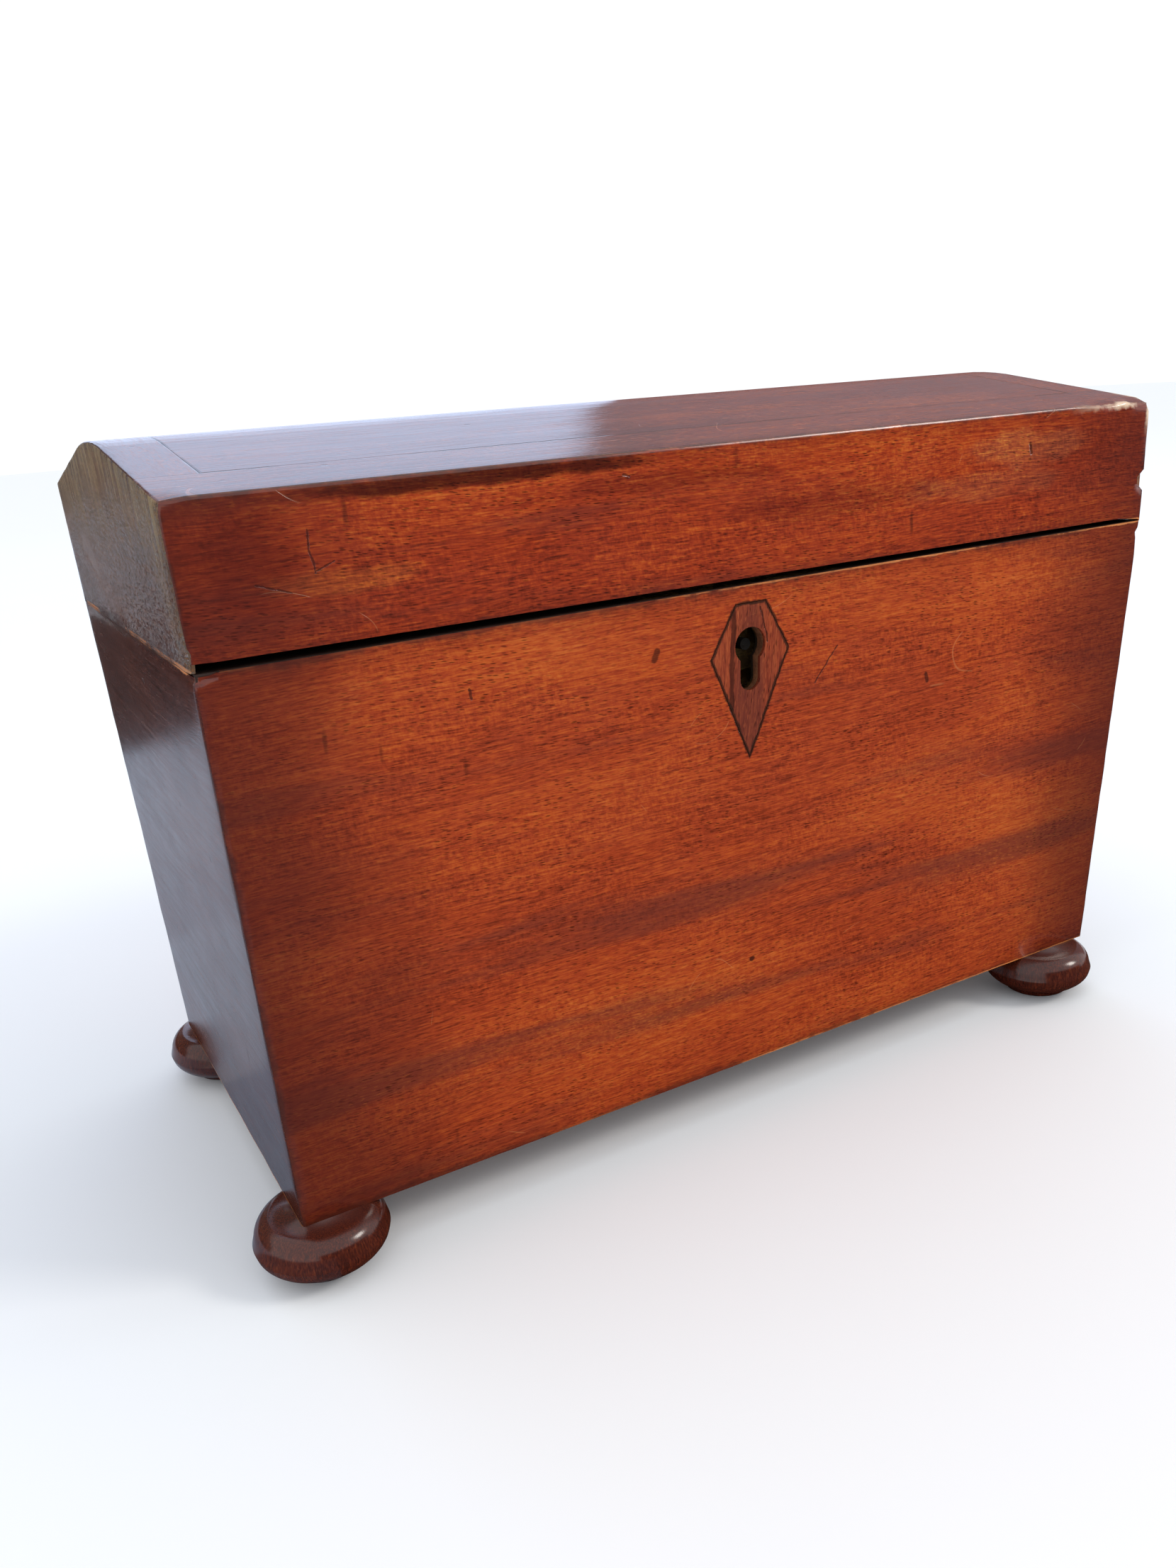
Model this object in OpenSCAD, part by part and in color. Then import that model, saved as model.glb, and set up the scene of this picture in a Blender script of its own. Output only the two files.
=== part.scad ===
// A two-compartment tea caddy with tapering sides, a ridged lid and turned bun feet.
// Every module draws one piece. X runs along the front, Y from front to back, Z up from the floor.

/* [Case] */
// Width of the case at the rim
caddy_w = 230; // [190:1:280]
// Depth of the case at the rim
caddy_d = 117.5; // [96:0.5:145]
// Height from the underside of the case to the rim
body_h = 112.5; // [92:0.5:138]
// How far each end leans in between rim and underside
taper_x = 4.7; // [0:0.1:8]
// How far the front and the back lean in between rim and underside
taper_y = 7.1; // [0:0.1:9]
// Thickness of the carcass boards
wall_t = 10; // [9.5:0.1:12]
// Thickness of the bottom board
bottom_t = 7; // [6:0.1:10]
// Thickness of the show veneer
veneer_t = 0.8; // [0.6:0.1:1.5]

/* [Lid] */
// Height of the lid's front edge
lid_h = 27.8; // [23:0.1:34]
// Slope of the lid's two falls in degrees
roof_angle = 10; // [7:0.5:12]
// Radius that rounds the ridge
ridge_r = 90; // [60:1:110]
// Thickness of the lid's top board
top_t = 8; // [6:0.1:9]
// Gap between the rim and the lid's ends and back
joint_gap = 0.5; // [0.3:0.1:1]
// Extra height planed off under the lid's front rail
front_relief = 1.2; // [0:0.1:2]
// Width of the banding along the lid's front and back
band_y = 15.5; // [8:0.5:22]
// Width of the banding across the lid's ends
band_x = 10; // [6:0.5:20]
// Furthest that the lid opens in degrees
lid_open = 100; // [90:1:110]

/* [Feet] */
// Height of a foot
foot_h = 12; // [10:0.1:16]
// Radius of a foot at its widest
foot_r = 13.8; // [11:0.1:17]
// Radius of a foot's flat top
foot_top_r = 9.9; // [8:0.1:10.5]
// Radius of the pad under a foot
foot_pad_r = 8.2; // [5:0.1:10]
// Height of the pad under a foot
foot_pad_h = 1.6; // [1:0.1:3]
// Height of a foot's widest line above the floor
foot_arris_z = 6.7; // [5:0.1:8]
// Radius of a foot's spigot
spigot_r = 2.5; // [2:0.1:3]
// Length of a foot's spigot
spigot_h = 5; // [3:0.1:5.5]
// Front left foot's centre, in from the underside's edges
foot_fl = [4.8, 4.9]; // [3.5:0.1:14]
// Front right foot's centre, in from the underside's edges
foot_fr = [13.2, 3.9]; // [3.5:0.1:14]
// Rear left foot's centre, in from the underside's edges
foot_rl = [7.5, 6.7]; // [3.5:0.1:14]
// Rear right foot's centre, in from the underside's edges
foot_rr = [10, 6.7]; // [3.5:0.1:14]

/* [Tea compartments] */
// Thickness of the partition between the two compartments
partition_t = 6; // [4:0.5:10]
// Thickness of the lead foil lining
foil_t = 0.8; // [0.5:0.1:1.2]
// Width of the fillets that the tea lids rest on
fillet_w = 4; // [3:0.5:6]
// Height of the fillets that the tea lids rest on
fillet_h = 4; // [3:0.5:8]
// Thickness of a tea lid
tea_lid_t = 5; // [4:0.5:6]
// Depth of a tea lid's top below the rim
tea_lid_drop = 12; // [11.5:0.5:16]
// Clearance round a tea lid
tea_lid_gap = 0.6; // [0.4:0.1:1.2]
// How far a tea lid lifts under the closed lid
tea_lid_lift = 24; // [20:0.5:25]
// Radius of a tea lid's knob
knob_r = 6.5; // [5:0.1:9]
// Height of a tea lid's knob
knob_h = 10.5; // [8:0.1:11]
// Radius of a knob's neck
knob_neck_r = 3; // [2.5:0.1:4]
// Radius of a knob's spigot
knob_spigot_r = 2.5; // [1.5:0.1:2.5]

/* [Escutcheon] */
// Keyhole's place along the front, from the middle
lock_x = -2.9; // [-10:0.1:10]
// Keyhole's round centre below the rim
key_drop = 12.6; // [12:0.1:14]
// Radius of the keyhole's round
key_r = 3.85; // [3:0.05:4.5]
// Width of the keyhole's slot
key_slot_w = 5; // [4.4:0.1:5.4]
// Depth of the keyhole's slot below its round centre
key_slot_h = 9.6; // [8:0.1:11]
// Half the width of the kite-shaped inlay
kite_w = 9.75; // [8:0.05:14]
// Half the width of the inlay's cut-off top
kite_top_w = 3.7; // [2:0.1:6]
// Inlay's top below the rim
kite_top = 3.7; // [2:0.1:5]
// Inlay's widest line below the rim
kite_mid = 14.3; // [12:0.1:16]
// Inlay's lower point below the rim
kite_low = 36.7; // [30:0.1:45]

/* [Lock] */
// Width of the lock's L-shaped plate
lock_plate_w = 50; // [46:1:60]
// Height of the lock's plate
lock_plate_h = 30; // [28:1:36]
// Thickness of the lock's plate
lock_plate_t = 1.2; // [1:0.1:1.5]
// Thickness of the selvedge on the rim
selvedge_t = 1.5; // [1:0.1:1.5]
// Depth of the selvedge from front to back
selvedge_d = 8.6; // [7.5:0.1:8.6]
// Width of the lock's case
lock_case_w = 36; // [34:1:38]
// Height of the lock's case
lock_case_h = 25; // [24:0.5:26]
// Depth of the lock's case
lock_case_d = 6; // [5.8:0.1:6.2]
// Thickness of the lock case's sheet
lock_sheet = 0.8; // [0.6:0.1:1]
// Radius of the drill pin
drill_pin_r = 1.25; // [1:0.05:1.4]
// Travel of the bolt
bolt_travel = 3.5; // [3:0.1:3.6]
// Thickness of the bolt's bar
bolt_t = 1.5; // [1.2:0.1:1.6]
// Thickness of the link plate's hooks
hook_t = 1.8; // [1.5:0.1:1.9]
// Width of a hook's leg
hook_leg = 2.5; // [2:0.1:3]
// Reach of a hook's foot beyond its leg
hook_reach = 3.5; // [3:0.1:3.6]
// Height of a hook's foot
hook_foot_h = 2; // [1.5:0.1:2.5]
// Depth of a hook's tip below the rim
hook_drop = 9; // [8.8:0.1:9.5]
// Half the distance between the two hooks
hook_pitch = 8; // [7.5:0.1:8.2]
// Width of the link plate
link_w = 44; // [40:1:50]
// Depth of the link plate from front to back
link_d = 7; // [6:0.1:7.4]
// Thickness of the link plate
link_t = 1.5; // [1:0.1:2]

/* [Hinges] */
// Hinge centres' distance from the middle
hinge_x = 72; // [50:1:80]
// Length of a hinge
hinge_l = 38; // [30:1:44]
// Width of a hinge leaf let into the wood
leaf_w = 9.2; // [8:0.1:9.3]
// Thickness of a hinge leaf
leaf_t = 1.2; // [1:0.1:1.5]
// Radius of a hinge knuckle
knuckle_r = 2.2; // [2:0.1:2.6]
// Hinge pin's centre behind the back
knuckle_out = 1.2; // [1:0.1:2]
// Radius of a hinge pin
hinge_pin_r = 1.1; // [0.9:0.05:1.2]

/* [Screws] */
// Radius of a screw's head
screw_head_r = 2; // [1.8:0.05:2.1]
// Radius of a screw's shank
screw_r = 0.9; // [0.8:0.05:1.1]
// Length of a hinge screw
hinge_screw_l = 9; // [6:0.5:10]
// Length of a lock screw
lock_screw_l = 6; // [5:0.1:6.5]

/* [Clearances] */
// Radial clearance between a hinge pin and its knuckles
pin_gap = 0.05; // [0.02:0.01:0.1]
// Gap between neighbouring knuckles and round them
knuckle_gap = 0.25; // [0.15:0.05:0.4]
// Clearance between the lock's moving parts
lock_gap = 0.4; // [0.3:0.05:0.5]

/* [Hidden] */
$fn = 64;
eps = 0.01;
knuckles = 5;                          // segments in a hinge
leaf_screws = 3;                       // screws in each leaf
arc_steps = 10;                        // steps in each turned curve

under_z = foot_h;                      // underside of the case
rim_z = under_z + body_h;              // rim of the case
lid_z = rim_z + joint_gap;             // lower edge of the lid's ends and back
rail_z = lid_z + front_relief;         // lower edge of the lid's front rail
eaves_z = lid_z + lid_h;               // top of the lid's front edge
peak_z = eaves_z + caddy_d / 2 * tan(roof_angle);
crest_z = peak_z - ridge_r / cos(roof_angle);      // centre of the ridge's radius
ridge_z = crest_z + ridge_r;           // highest line of the lid
wall_in = veneer_t + wall_t;           // outside face to inside face
far = caddy_w;                         // longer than any cut

lean_x = taper_x / body_h;
lean_y = taper_y / body_h;
function half_w(z) = caddy_w / 2 + (z - rim_z) * lean_x;
function half_d(z) = caddy_d / 2 + min(z - rim_z, 0) * lean_y;

// Foot centres and the box round everything
foot_x_l = [-half_w(under_z) + foot_fl[0], -half_w(under_z) + foot_rl[0]];
foot_x_r = [half_w(under_z) - foot_fr[0], half_w(under_z) - foot_rr[0]];
foot_y_f = [-half_d(under_z) + foot_fl[1], -half_d(under_z) + foot_fr[1]];
foot_y_b = [half_d(under_z) - foot_rl[1], half_d(under_z) - foot_rr[1]];
x_low = min(-half_w(ridge_z), min(foot_x_l) - foot_r);
x_high = max(half_w(ridge_z), max(foot_x_r) + foot_r);
y_low = min(-caddy_d / 2, min(foot_y_f) - foot_r);
y_high = max(caddy_d / 2 + knuckle_out + knuckle_r, max(foot_y_b) + foot_r);

// Heights inside the case
floor_z = under_z + bottom_t;
tea_top_z = rim_z - tea_lid_drop;
tea_low_z = tea_top_z - tea_lid_t;
foil_top_z = tea_low_z - fillet_h;

// The lock: its plate stands flush with the front panel's inside face at the rim
plate_y = -caddy_d / 2 + wall_in;
works_y = plate_y - lock_plate_t;      // where the plate ends and the works begin
bolt_y = works_y - lock_gap - bolt_t;  // front face of the bolt's bar
hook_y = bolt_y - lock_gap - hook_t;   // front face of the hooks
key_z = rim_z - key_drop;
hook_tip_z = rim_z - hook_drop;
tongue_z = hook_tip_z + hook_foot_h + lock_gap;
tongue_h = 2.4;                        // height of a bolt tongue
tongue_l = hook_reach;                 // length of a bolt tongue
bar_top_z = rim_z - selvedge_t - 1;    // leaves room for the flat spring
spring_t = 0.3;                        // thickness of the flat spring
talon_w = 2;                           // width of each talon under the bolt
talon_h = 3;                           // depth of each talon under the bolt
hook_swing = 0.5;                      // how far a hook swings forward as the lid lifts
pin_proud = 7;                         // drill pin's length in front of the plate
hinge_y = caddy_d / 2 + knuckle_out;
hinge_z = rim_z + joint_gap / 2;

// Puts the origin on the floor, at the middle of the box round the whole caddy
module placed() translate([-(x_low + x_high) / 2, -(y_low + y_high) / 2, 0]) children();

// ---- Wedges that give the leaning faces ----

// Everything between the two leaning ends, moved in by inset
module between_ends(z0, z1, inset) {
    rotate([90, 0, 0])
        linear_extrude(2 * far, center = true)
            polygon([
                [-half_w(z0) + inset, z0], [half_w(z0) - inset, z0],
                [half_w(z1) - inset, z1], [-half_w(z1) + inset, z1],
            ]);
}

// Everything between the front and the back, moved in by inset
module between_faces(z0, z1, inset) {
    rotate([90, 0, 90])
        linear_extrude(2 * far, center = true)
            polygon([
                [-half_d(z0) + inset, z0], [half_d(z0) - inset, z0],
                [half_d(z1) - inset, z1], [-half_d(z1) + inset, z1],
            ]);
}

// A board along the front, from inset a to inset b, with its ends moved in by end_inset
module front_board(z0, z1, a, b, end_inset) {
    intersection() {
        rotate([90, 0, 90])
            linear_extrude(2 * far, center = true)
                polygon([
                    [-half_d(z0) + a, z0], [-half_d(z0) + b, z0],
                    [-half_d(z1) + b, z1], [-half_d(z1) + a, z1],
                ]);
        between_ends(z0, z1, end_inset);
    }
}

// A board at the right end, from inset a to inset b, with its edges moved in by face_inset
module end_board(z0, z1, a, b, face_inset) {
    intersection() {
        rotate([90, 0, 0])
            linear_extrude(2 * far, center = true)
                polygon([
                    [half_w(z0) - a, z0], [half_w(z1) - a, z1],
                    [half_w(z1) - b, z1], [half_w(z0) - b, z0],
                ]);
        between_faces(z0, z1, face_inset);
    }
}

// A block that reaches from x0 to x1 and from z0 to z1 over the whole depth
module slice_x(x0, x1, z0, z1) translate([x0, -far, z0]) cube([x1 - x0, 2 * far, z1 - z0]);

// A block that reaches from y0 to y1 and from z0 to z1 over the whole width
module slice_y(y0, y1, z0, z1) translate([-far, y0, z0]) cube([2 * far, y1 - y0, z1 - z0]);

// Everything under the roof's surface, moved in by inset
module under_roof(inset) {
    fall = inset / cos(roof_angle);
    reach = caddy_d / 2 + lid_h;
    turn_z = crest_z + (ridge_r - inset) * cos(roof_angle);
    intersection() {
        rotate([90, 0, 90])
            linear_extrude(2 * far, center = true)
                polygon([
                    [-reach, under_z], [reach, under_z],
                    [reach, peak_z - reach * tan(roof_angle) - fall],
                    [0, peak_z - fall],
                    [-reach, peak_z - reach * tan(roof_angle) - fall],
                ]);
        union() {
            translate([0, 0, crest_z])
                rotate([0, 90, 0])
                    cylinder(h = 2 * far, r = ridge_r - inset, center = true);
            translate([-far, -reach, under_z]) cube([2 * far, 2 * reach, turn_z - under_z]);
        }
    }
}

// ---- Fixings ----

// A countersunk screw pointing down, its head's face at the origin
module screw(length, head_t) {
    translate([0, 0, -head_t]) cylinder(h = head_t, r1 = screw_r, r2 = screw_head_r);
    translate([0, 0, -length]) cylinder(h = length - head_t + eps, r = screw_r);
}

function leaf_screw_x(i) = (i - (leaf_screws - 1) / 2) * hinge_l / leaf_screws;

module leaf_screw_row(x, up) {
    for (i = [0 : leaf_screws - 1])
        translate([x + leaf_screw_x(i), caddy_d / 2 - leaf_w / 2, up ? lid_z : rim_z])
            mirror([0, 0, up ? 1 : 0])
                screw(hinge_screw_l, leaf_t);
}

module plate_screws() {
    for (x = [-1, 1], z = [rim_z - 8, rim_z - lock_plate_h + 6])
        translate([lock_x + x * (lock_plate_w + lock_case_w) / 4, plate_y, z])
            rotate([-90, 0, 0])
                screw(lock_screw_l, lock_plate_t);
}

module link_screw_pair() {
    for (x = [-1, 1])
        translate([lock_x + x * (link_w / 2 - 4), hook_y + hook_t / 2, rail_z])
            mirror([0, 0, 1])
                screw(lock_screw_l, link_t);
}

// ---- Hinges ----

// One leaf with its own knuckles: case leaves take the even segments, lid leaves the odd ones
module hinge_leaf(x, on_lid) {
    seg = hinge_l / knuckles;
    first = on_lid ? 1 : 0;
    leaf_z = on_lid ? lid_z : rim_z - leaf_t;
    difference() {
        union() {
            translate([x - hinge_l / 2, caddy_d / 2 - leaf_w, leaf_z])
                cube([hinge_l, leaf_w + knuckle_out, leaf_t]);
            for (i = [first : 2 : knuckles - 1])
                translate([x - hinge_l / 2 + i * seg + knuckle_gap / 2, hinge_y, hinge_z])
                    rotate([0, 90, 0])
                        cylinder(h = seg - knuckle_gap, r = knuckle_r);
        }
        for (i = [1 - first : 2 : knuckles - 1])
            translate([x - hinge_l / 2 + i * seg - knuckle_gap / 2, hinge_y, hinge_z])
                rotate([0, 90, 0])
                    cylinder(h = seg + knuckle_gap, r = knuckle_r + knuckle_gap);
        translate([x - hinge_l, hinge_y, hinge_z])
            rotate([0, 90, 0])
                cylinder(h = 2 * hinge_l, r = hinge_pin_r + pin_gap);
        leaf_screw_row(x, on_lid);
    }
}

module hinge_pin(x) {
    translate([x - hinge_l / 2, hinge_y, hinge_z])
        rotate([0, 90, 0])
            cylinder(h = hinge_l, r = hinge_pin_r);
}

// What a hinge takes out of the wood on one side of the joint
module hinge_recess(x, on_lid) {
    leaf_z = on_lid ? lid_z - joint_gap : rim_z - leaf_t;
    translate([x - hinge_l / 2, caddy_d / 2 - leaf_w, leaf_z])
        cube([hinge_l, 2 * leaf_w, leaf_t + joint_gap]);
    translate([x - hinge_l / 2 - knuckle_gap, hinge_y, hinge_z])
        rotate([0, 90, 0])
            cylinder(h = hinge_l + 2 * knuckle_gap, r = knuckle_r + knuckle_gap);
    leaf_screw_row(x, on_lid);
}

// ---- Keyhole and lock ----

// The keyhole's shape, run through from front to back
module key_cut() {
    slot_r = key_slot_w / 2;
    translate([lock_x, 0, key_z])
        rotate([90, 0, 0]) {
            cylinder(h = 2 * far, r = key_r, center = true);
            translate([0, slot_r - key_slot_h, 0]) cylinder(h = 2 * far, r = slot_r, center = true);
            translate([-slot_r, slot_r - key_slot_h, -far])
                cube([key_slot_w, key_slot_h - slot_r, 2 * far]);
        }
}

// The front half of the keyhole, which stops at the lock's plate
module key_bore() {
    intersection() {
        key_cut();
        slice_y(-far, works_y - lock_sheet / 2, under_z, rim_z);
    }
}

// The inlay's kite-shaped outline, run through the front
module kite_cut() {
    translate([lock_x, -caddy_d / 4, rim_z])
        rotate([90, 0, 0])
            linear_extrude(caddy_d)
                polygon([
                    [0, -kite_low], [kite_w, -kite_mid], [kite_top_w, -kite_top],
                    [-kite_top_w, -kite_top], [-kite_w, -kite_mid],
                ]);
}

// What the lock takes out of the front panel
module lock_mortise() {
    translate([lock_x - lock_plate_w / 2, works_y, rim_z - lock_plate_h])
        cube([lock_plate_w, wall_t, lock_plate_h + eps]);
    translate([lock_x - lock_plate_w / 2, plate_y - selvedge_d, rim_z - selvedge_t])
        cube([lock_plate_w, selvedge_d, selvedge_t + eps]);
    translate([lock_x - lock_case_w / 2, works_y - lock_case_d, rim_z - selvedge_t - lock_case_h])
        cube([lock_case_w, lock_case_d + eps, lock_case_h + eps]);
    plate_screws();
}

// ---- Case ----

module bottom_board() color("#8a5a3a") placed() difference() {
    intersection() {
        between_ends(under_z, floor_z, veneer_t);
        between_faces(under_z, floor_z, veneer_t);
    }
    for (p = foot_places()) translate([p[0], p[1], under_z - eps]) cylinder(h = spigot_h + eps, r = spigot_r);
}

module front_panel() color("#9a6a48") placed() difference() {
    front_board(floor_z, rim_z, veneer_t, wall_in, veneer_t);
    lock_mortise();
    key_bore();
}

module back_panel() color("#9a6a48") placed() difference() {
    mirror([0, 1, 0]) front_board(floor_z, rim_z, veneer_t, wall_in, veneer_t);
    for (x = [-hinge_x, hinge_x]) hinge_recess(x, false);
}

module end_panel() end_board(floor_z, rim_z, veneer_t, wall_in, wall_in);
module right_end() color("#9a6a48") placed() end_panel();
module left_end() color("#9a6a48") placed() mirror([1, 0, 0]) end_panel();

module front_veneer() color("#8f3a1c") placed() difference() {
    front_board(under_z, rim_z, 0, veneer_t, 0);
    kite_cut();
}

module back_veneer() color("#8f3a1c") placed() difference() {
    mirror([0, 1, 0]) front_board(under_z, rim_z, 0, veneer_t, 0);
    for (x = [-hinge_x, hinge_x]) hinge_recess(x, false);
}

module end_veneer() end_board(under_z, rim_z, 0, veneer_t, veneer_t);
module right_veneer() color("#8f3a1c") placed() end_veneer();
module left_veneer() color("#8f3a1c") placed() mirror([1, 0, 0]) end_veneer();

module escutcheon() color("#5c2a18") placed() difference() {
    intersection() {
        front_board(under_z, rim_z, 0, veneer_t, 0);
        kite_cut();
    }
    key_cut();
}

// ---- Feet ----

function foot_places() = [
    [foot_x_l[0], foot_y_f[0]], [foot_x_r[0], foot_y_f[1]],
    [foot_x_l[1], foot_y_b[0]], [foot_x_r[1], foot_y_b[1]],
];

// Points on a quarter ellipse from (r0, z0) to (r1, z1), bulging outwards
function turned(r0, z0, r1, z1) = [
    for (i = [0 : arc_steps])
        let (a = 90 * i / arc_steps)
            [r0 + (r1 - r0) * sin(a), z1 + (z0 - z1) * cos(a)]
];

module foot(i) {
    waist_z = foot_pad_h;
    waist_r = foot_pad_r + 0.6;
    dome = turned(foot_top_r, foot_h, foot_r, foot_arris_z);
    belly = turned(waist_r, waist_z, foot_r, foot_arris_z);
    translate([foot_places()[i][0], foot_places()[i][1], 0]) {
        rotate_extrude()
            polygon(concat(
                [[0, 0], [foot_pad_r, 0]],
                [for (p = belly) p],
                [for (k = [1 : arc_steps]) dome[arc_steps - k]],
                [[0, foot_h]]
            ));
        translate([0, 0, foot_h - eps]) cylinder(h = spigot_h + eps, r = spigot_r);
    }
}

module foot_front_left() color("#5a1d12") placed() foot(0);
module foot_front_right() color("#5a1d12") placed() foot(1);
module foot_rear_left() color("#5a1d12") placed() foot(2);
module foot_rear_right() color("#5a1d12") placed() foot(3);

// ---- Tea compartments ----

module partition() color("#8a5a3a") placed() intersection() {
    between_faces(floor_z, tea_top_z, wall_in);
    slice_x(-partition_t / 2, partition_t / 2, floor_z, tea_top_z);
}

// The space inside the right half of the case, moved in by inset on every side
module right_space(z0, z1, inset) {
    intersection() {
        between_faces(z0, z1, wall_in + inset);
        between_ends(z0, z1, wall_in + inset);
        slice_x(partition_t / 2 + inset, caddy_w, z0, z1);
    }
}

module foil_lining() {
    difference() {
        right_space(floor_z, foil_top_z, 0);
        right_space(floor_z + foil_t, foil_top_z + foil_t, foil_t);
    }
}

module right_foil_lining() color("#9a9a98") placed() foil_lining();
module left_foil_lining() color("#9a9a98") placed() mirror([1, 0, 0]) foil_lining();

module fillet() {
    intersection() {
        front_board(foil_top_z, tea_low_z, wall_in, wall_in + fillet_w, wall_in);
        slice_x(partition_t / 2, caddy_w, foil_top_z, tea_low_z);
    }
}

module right_front_fillet() color("#8a5a3a") placed() fillet();
module right_back_fillet() color("#8a5a3a") placed() mirror([0, 1, 0]) fillet();
module left_front_fillet() color("#8a5a3a") placed() mirror([1, 0, 0]) fillet();
module left_back_fillet() color("#8a5a3a") placed() rotate([0, 0, 180]) fillet();

tea_x0 = partition_t / 2 + tea_lid_gap;
tea_x1 = half_w(tea_low_z) - wall_in - tea_lid_gap;
tea_y = half_d(tea_low_z) - wall_in - tea_lid_gap;

module tea_lid() {
    difference() {
        translate([tea_x0, -tea_y, tea_low_z]) cube([tea_x1 - tea_x0, 2 * tea_y, tea_lid_t]);
        translate([(tea_x0 + tea_x1) / 2, 0, tea_low_z - eps])
            cylinder(h = tea_lid_t + 2 * eps, r = knob_spigot_r);
    }
}

module tea_knob() {
    neck_h = knob_h / 3;
    mid_h = knob_h * 0.6;
    cap = turned(0, knob_h, knob_r, mid_h);
    translate([(tea_x0 + tea_x1) / 2, 0, tea_top_z]) {
        rotate_extrude()
            polygon(concat(
                [[0, 0], [knob_r * 0.75, 0], [knob_r * 0.75, neck_h / 3], [knob_neck_r, neck_h]],
                [for (k = [0 : arc_steps]) cap[arc_steps - k]]
            ));
        translate([0, 0, -tea_lid_t]) cylinder(h = tea_lid_t + eps, r = knob_spigot_r);
    }
}

module right_tea_lid() color("#7a3a20") placed() tea_lid();
module left_tea_lid() color("#7a3a20") placed() mirror([1, 0, 0]) tea_lid();
module right_tea_knob() color("#241c1a") placed() tea_knob();
module left_tea_knob() color("#241c1a") placed() mirror([1, 0, 0]) tea_knob();

// ---- Hinges on the case ----

module left_hinge_case_leaf() color("#b08d4a") placed() hinge_leaf(-hinge_x, false);
module right_hinge_case_leaf() color("#b08d4a") placed() hinge_leaf(hinge_x, false);
module left_hinge_pin() color("#8a8a8a") placed() hinge_pin(-hinge_x);
module right_hinge_pin() color("#8a8a8a") placed() hinge_pin(hinge_x);
module case_hinge_screws() color("#b08d4a") placed() for (x = [-hinge_x, hinge_x]) leaf_screw_row(x, false);

// ---- Lock ----

// The slots in the selvedge that let the hooks down into the works
module hook_slots() {
    for (x = [-hook_pitch, hook_pitch])
        translate([
            lock_x + x - hook_reach - lock_gap,
            hook_y - hook_swing - lock_gap / 2,
            rim_z - selvedge_t - 1,
        ])
            cube([hook_reach + hook_leg + 2 * lock_gap, hook_t + hook_swing + lock_gap, selvedge_t + 2]);
}

module lock_plate() color("#b08d4a") placed() difference() {
    union() {
        translate([lock_x - lock_plate_w / 2, works_y, rim_z - lock_plate_h])
            cube([lock_plate_w, lock_plate_t, lock_plate_h]);
        translate([lock_x - lock_plate_w / 2, plate_y - selvedge_d, rim_z - selvedge_t])
            cube([lock_plate_w, selvedge_d, selvedge_t]);
    }
    hook_slots();
    plate_screws();
    drill_pin();
}

module lock_case() color("#b08d4a") placed() difference() {
    translate([lock_x - lock_case_w / 2, works_y - lock_case_d, rim_z - selvedge_t - lock_case_h])
        cube([lock_case_w, lock_case_d, lock_case_h]);
    translate([
        lock_x - lock_case_w / 2 + lock_sheet,
        works_y - lock_case_d + lock_sheet,
        rim_z - selvedge_t - lock_case_h + lock_sheet,
    ])
        cube([lock_case_w - 2 * lock_sheet, lock_case_d, lock_case_h]);
    key_bore();
}

module drill_pin() {
    translate([lock_x, plate_y, key_z])
        rotate([90, 0, 0])
            cylinder(h = pin_proud + lock_plate_t, r = drill_pin_r);
}

module lock_drill_pin() color("#8a8a8a") placed() drill_pin();

// A flat spring, bowed down between the selvedge and the bolt
module lock_spring() color("#8a8a8a") placed() {
    spring_l = 14;
    bow = 0.4;
    translate([lock_x - 6, works_y - lock_gap, rim_z - selvedge_t])
        rotate([90, 0, 0])
            linear_extrude(bolt_t)
                polygon([
                    [-spring_l / 2, 0], [-spring_l / 2, -spring_t], [0, -bow - spring_t],
                    [spring_l / 2, -spring_t], [spring_l / 2, 0], [0, -bow],
                ]);
}

module lock_screws() color("#b08d4a") placed() plate_screws();

// The bolt at rest is drawn back, clear of the hooks
module lock_bolt() color("#b08d4a") placed() {
    rest = hook_reach + lock_gap;
    tip = [-hook_pitch - rest, hook_pitch - rest];
    bar_x0 = lock_x + tip[0] - tongue_l;
    bar_x1 = lock_x + tip[1];
    translate([bar_x0, bolt_y, tongue_z]) cube([bar_x1 - bar_x0, bolt_t, bar_top_z - tongue_z]);
    for (t = tip)
        translate([lock_x + t - tongue_l, hook_y, tongue_z])
            cube([tongue_l, bolt_y - hook_y + eps, tongue_h]);
    for (x = [-talon_w - key_slot_w / 2, key_slot_w / 2])
        translate([lock_x - bolt_travel / 2 + x, bolt_y, tongue_z - talon_h])
            cube([talon_w, bolt_t, talon_h + eps]);
}

// ---- Lid ----

// The lid's whole outside, down to z0
module lid_block(z0) {
    intersection() {
        between_ends(z0, ridge_z + 1, 0);
        between_faces(z0, ridge_z + 1, 0);
        under_roof(0);
    }
}

// A piece of the lid's carcass, cut off under the top board
module under_top_board() {
    intersection() {
        children();
        under_roof(veneer_t + top_t);
    }
}

// A piece of the lid's side veneer, cut off under the top veneer
module under_top_veneer() {
    intersection() {
        children();
        under_roof(veneer_t);
    }
}

module lid_front_rail() color("#9a6a48") placed() difference() {
    under_top_board() front_board(rail_z, ridge_z, veneer_t, wall_in, veneer_t);
    link_recess();
    link_screw_pair();
}

module lid_back_rail() color("#9a6a48") placed() difference() {
    under_top_board() mirror([0, 1, 0]) front_board(lid_z, ridge_z, veneer_t, wall_in, veneer_t);
    for (x = [-hinge_x, hinge_x]) hinge_recess(x, true);
}

module lid_end() under_top_board() end_board(lid_z, ridge_z, veneer_t, wall_in, wall_in);
module lid_right_end() color("#9a6a48") placed() lid_end();
module lid_left_end() color("#9a6a48") placed() mirror([1, 0, 0]) lid_end();

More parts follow.
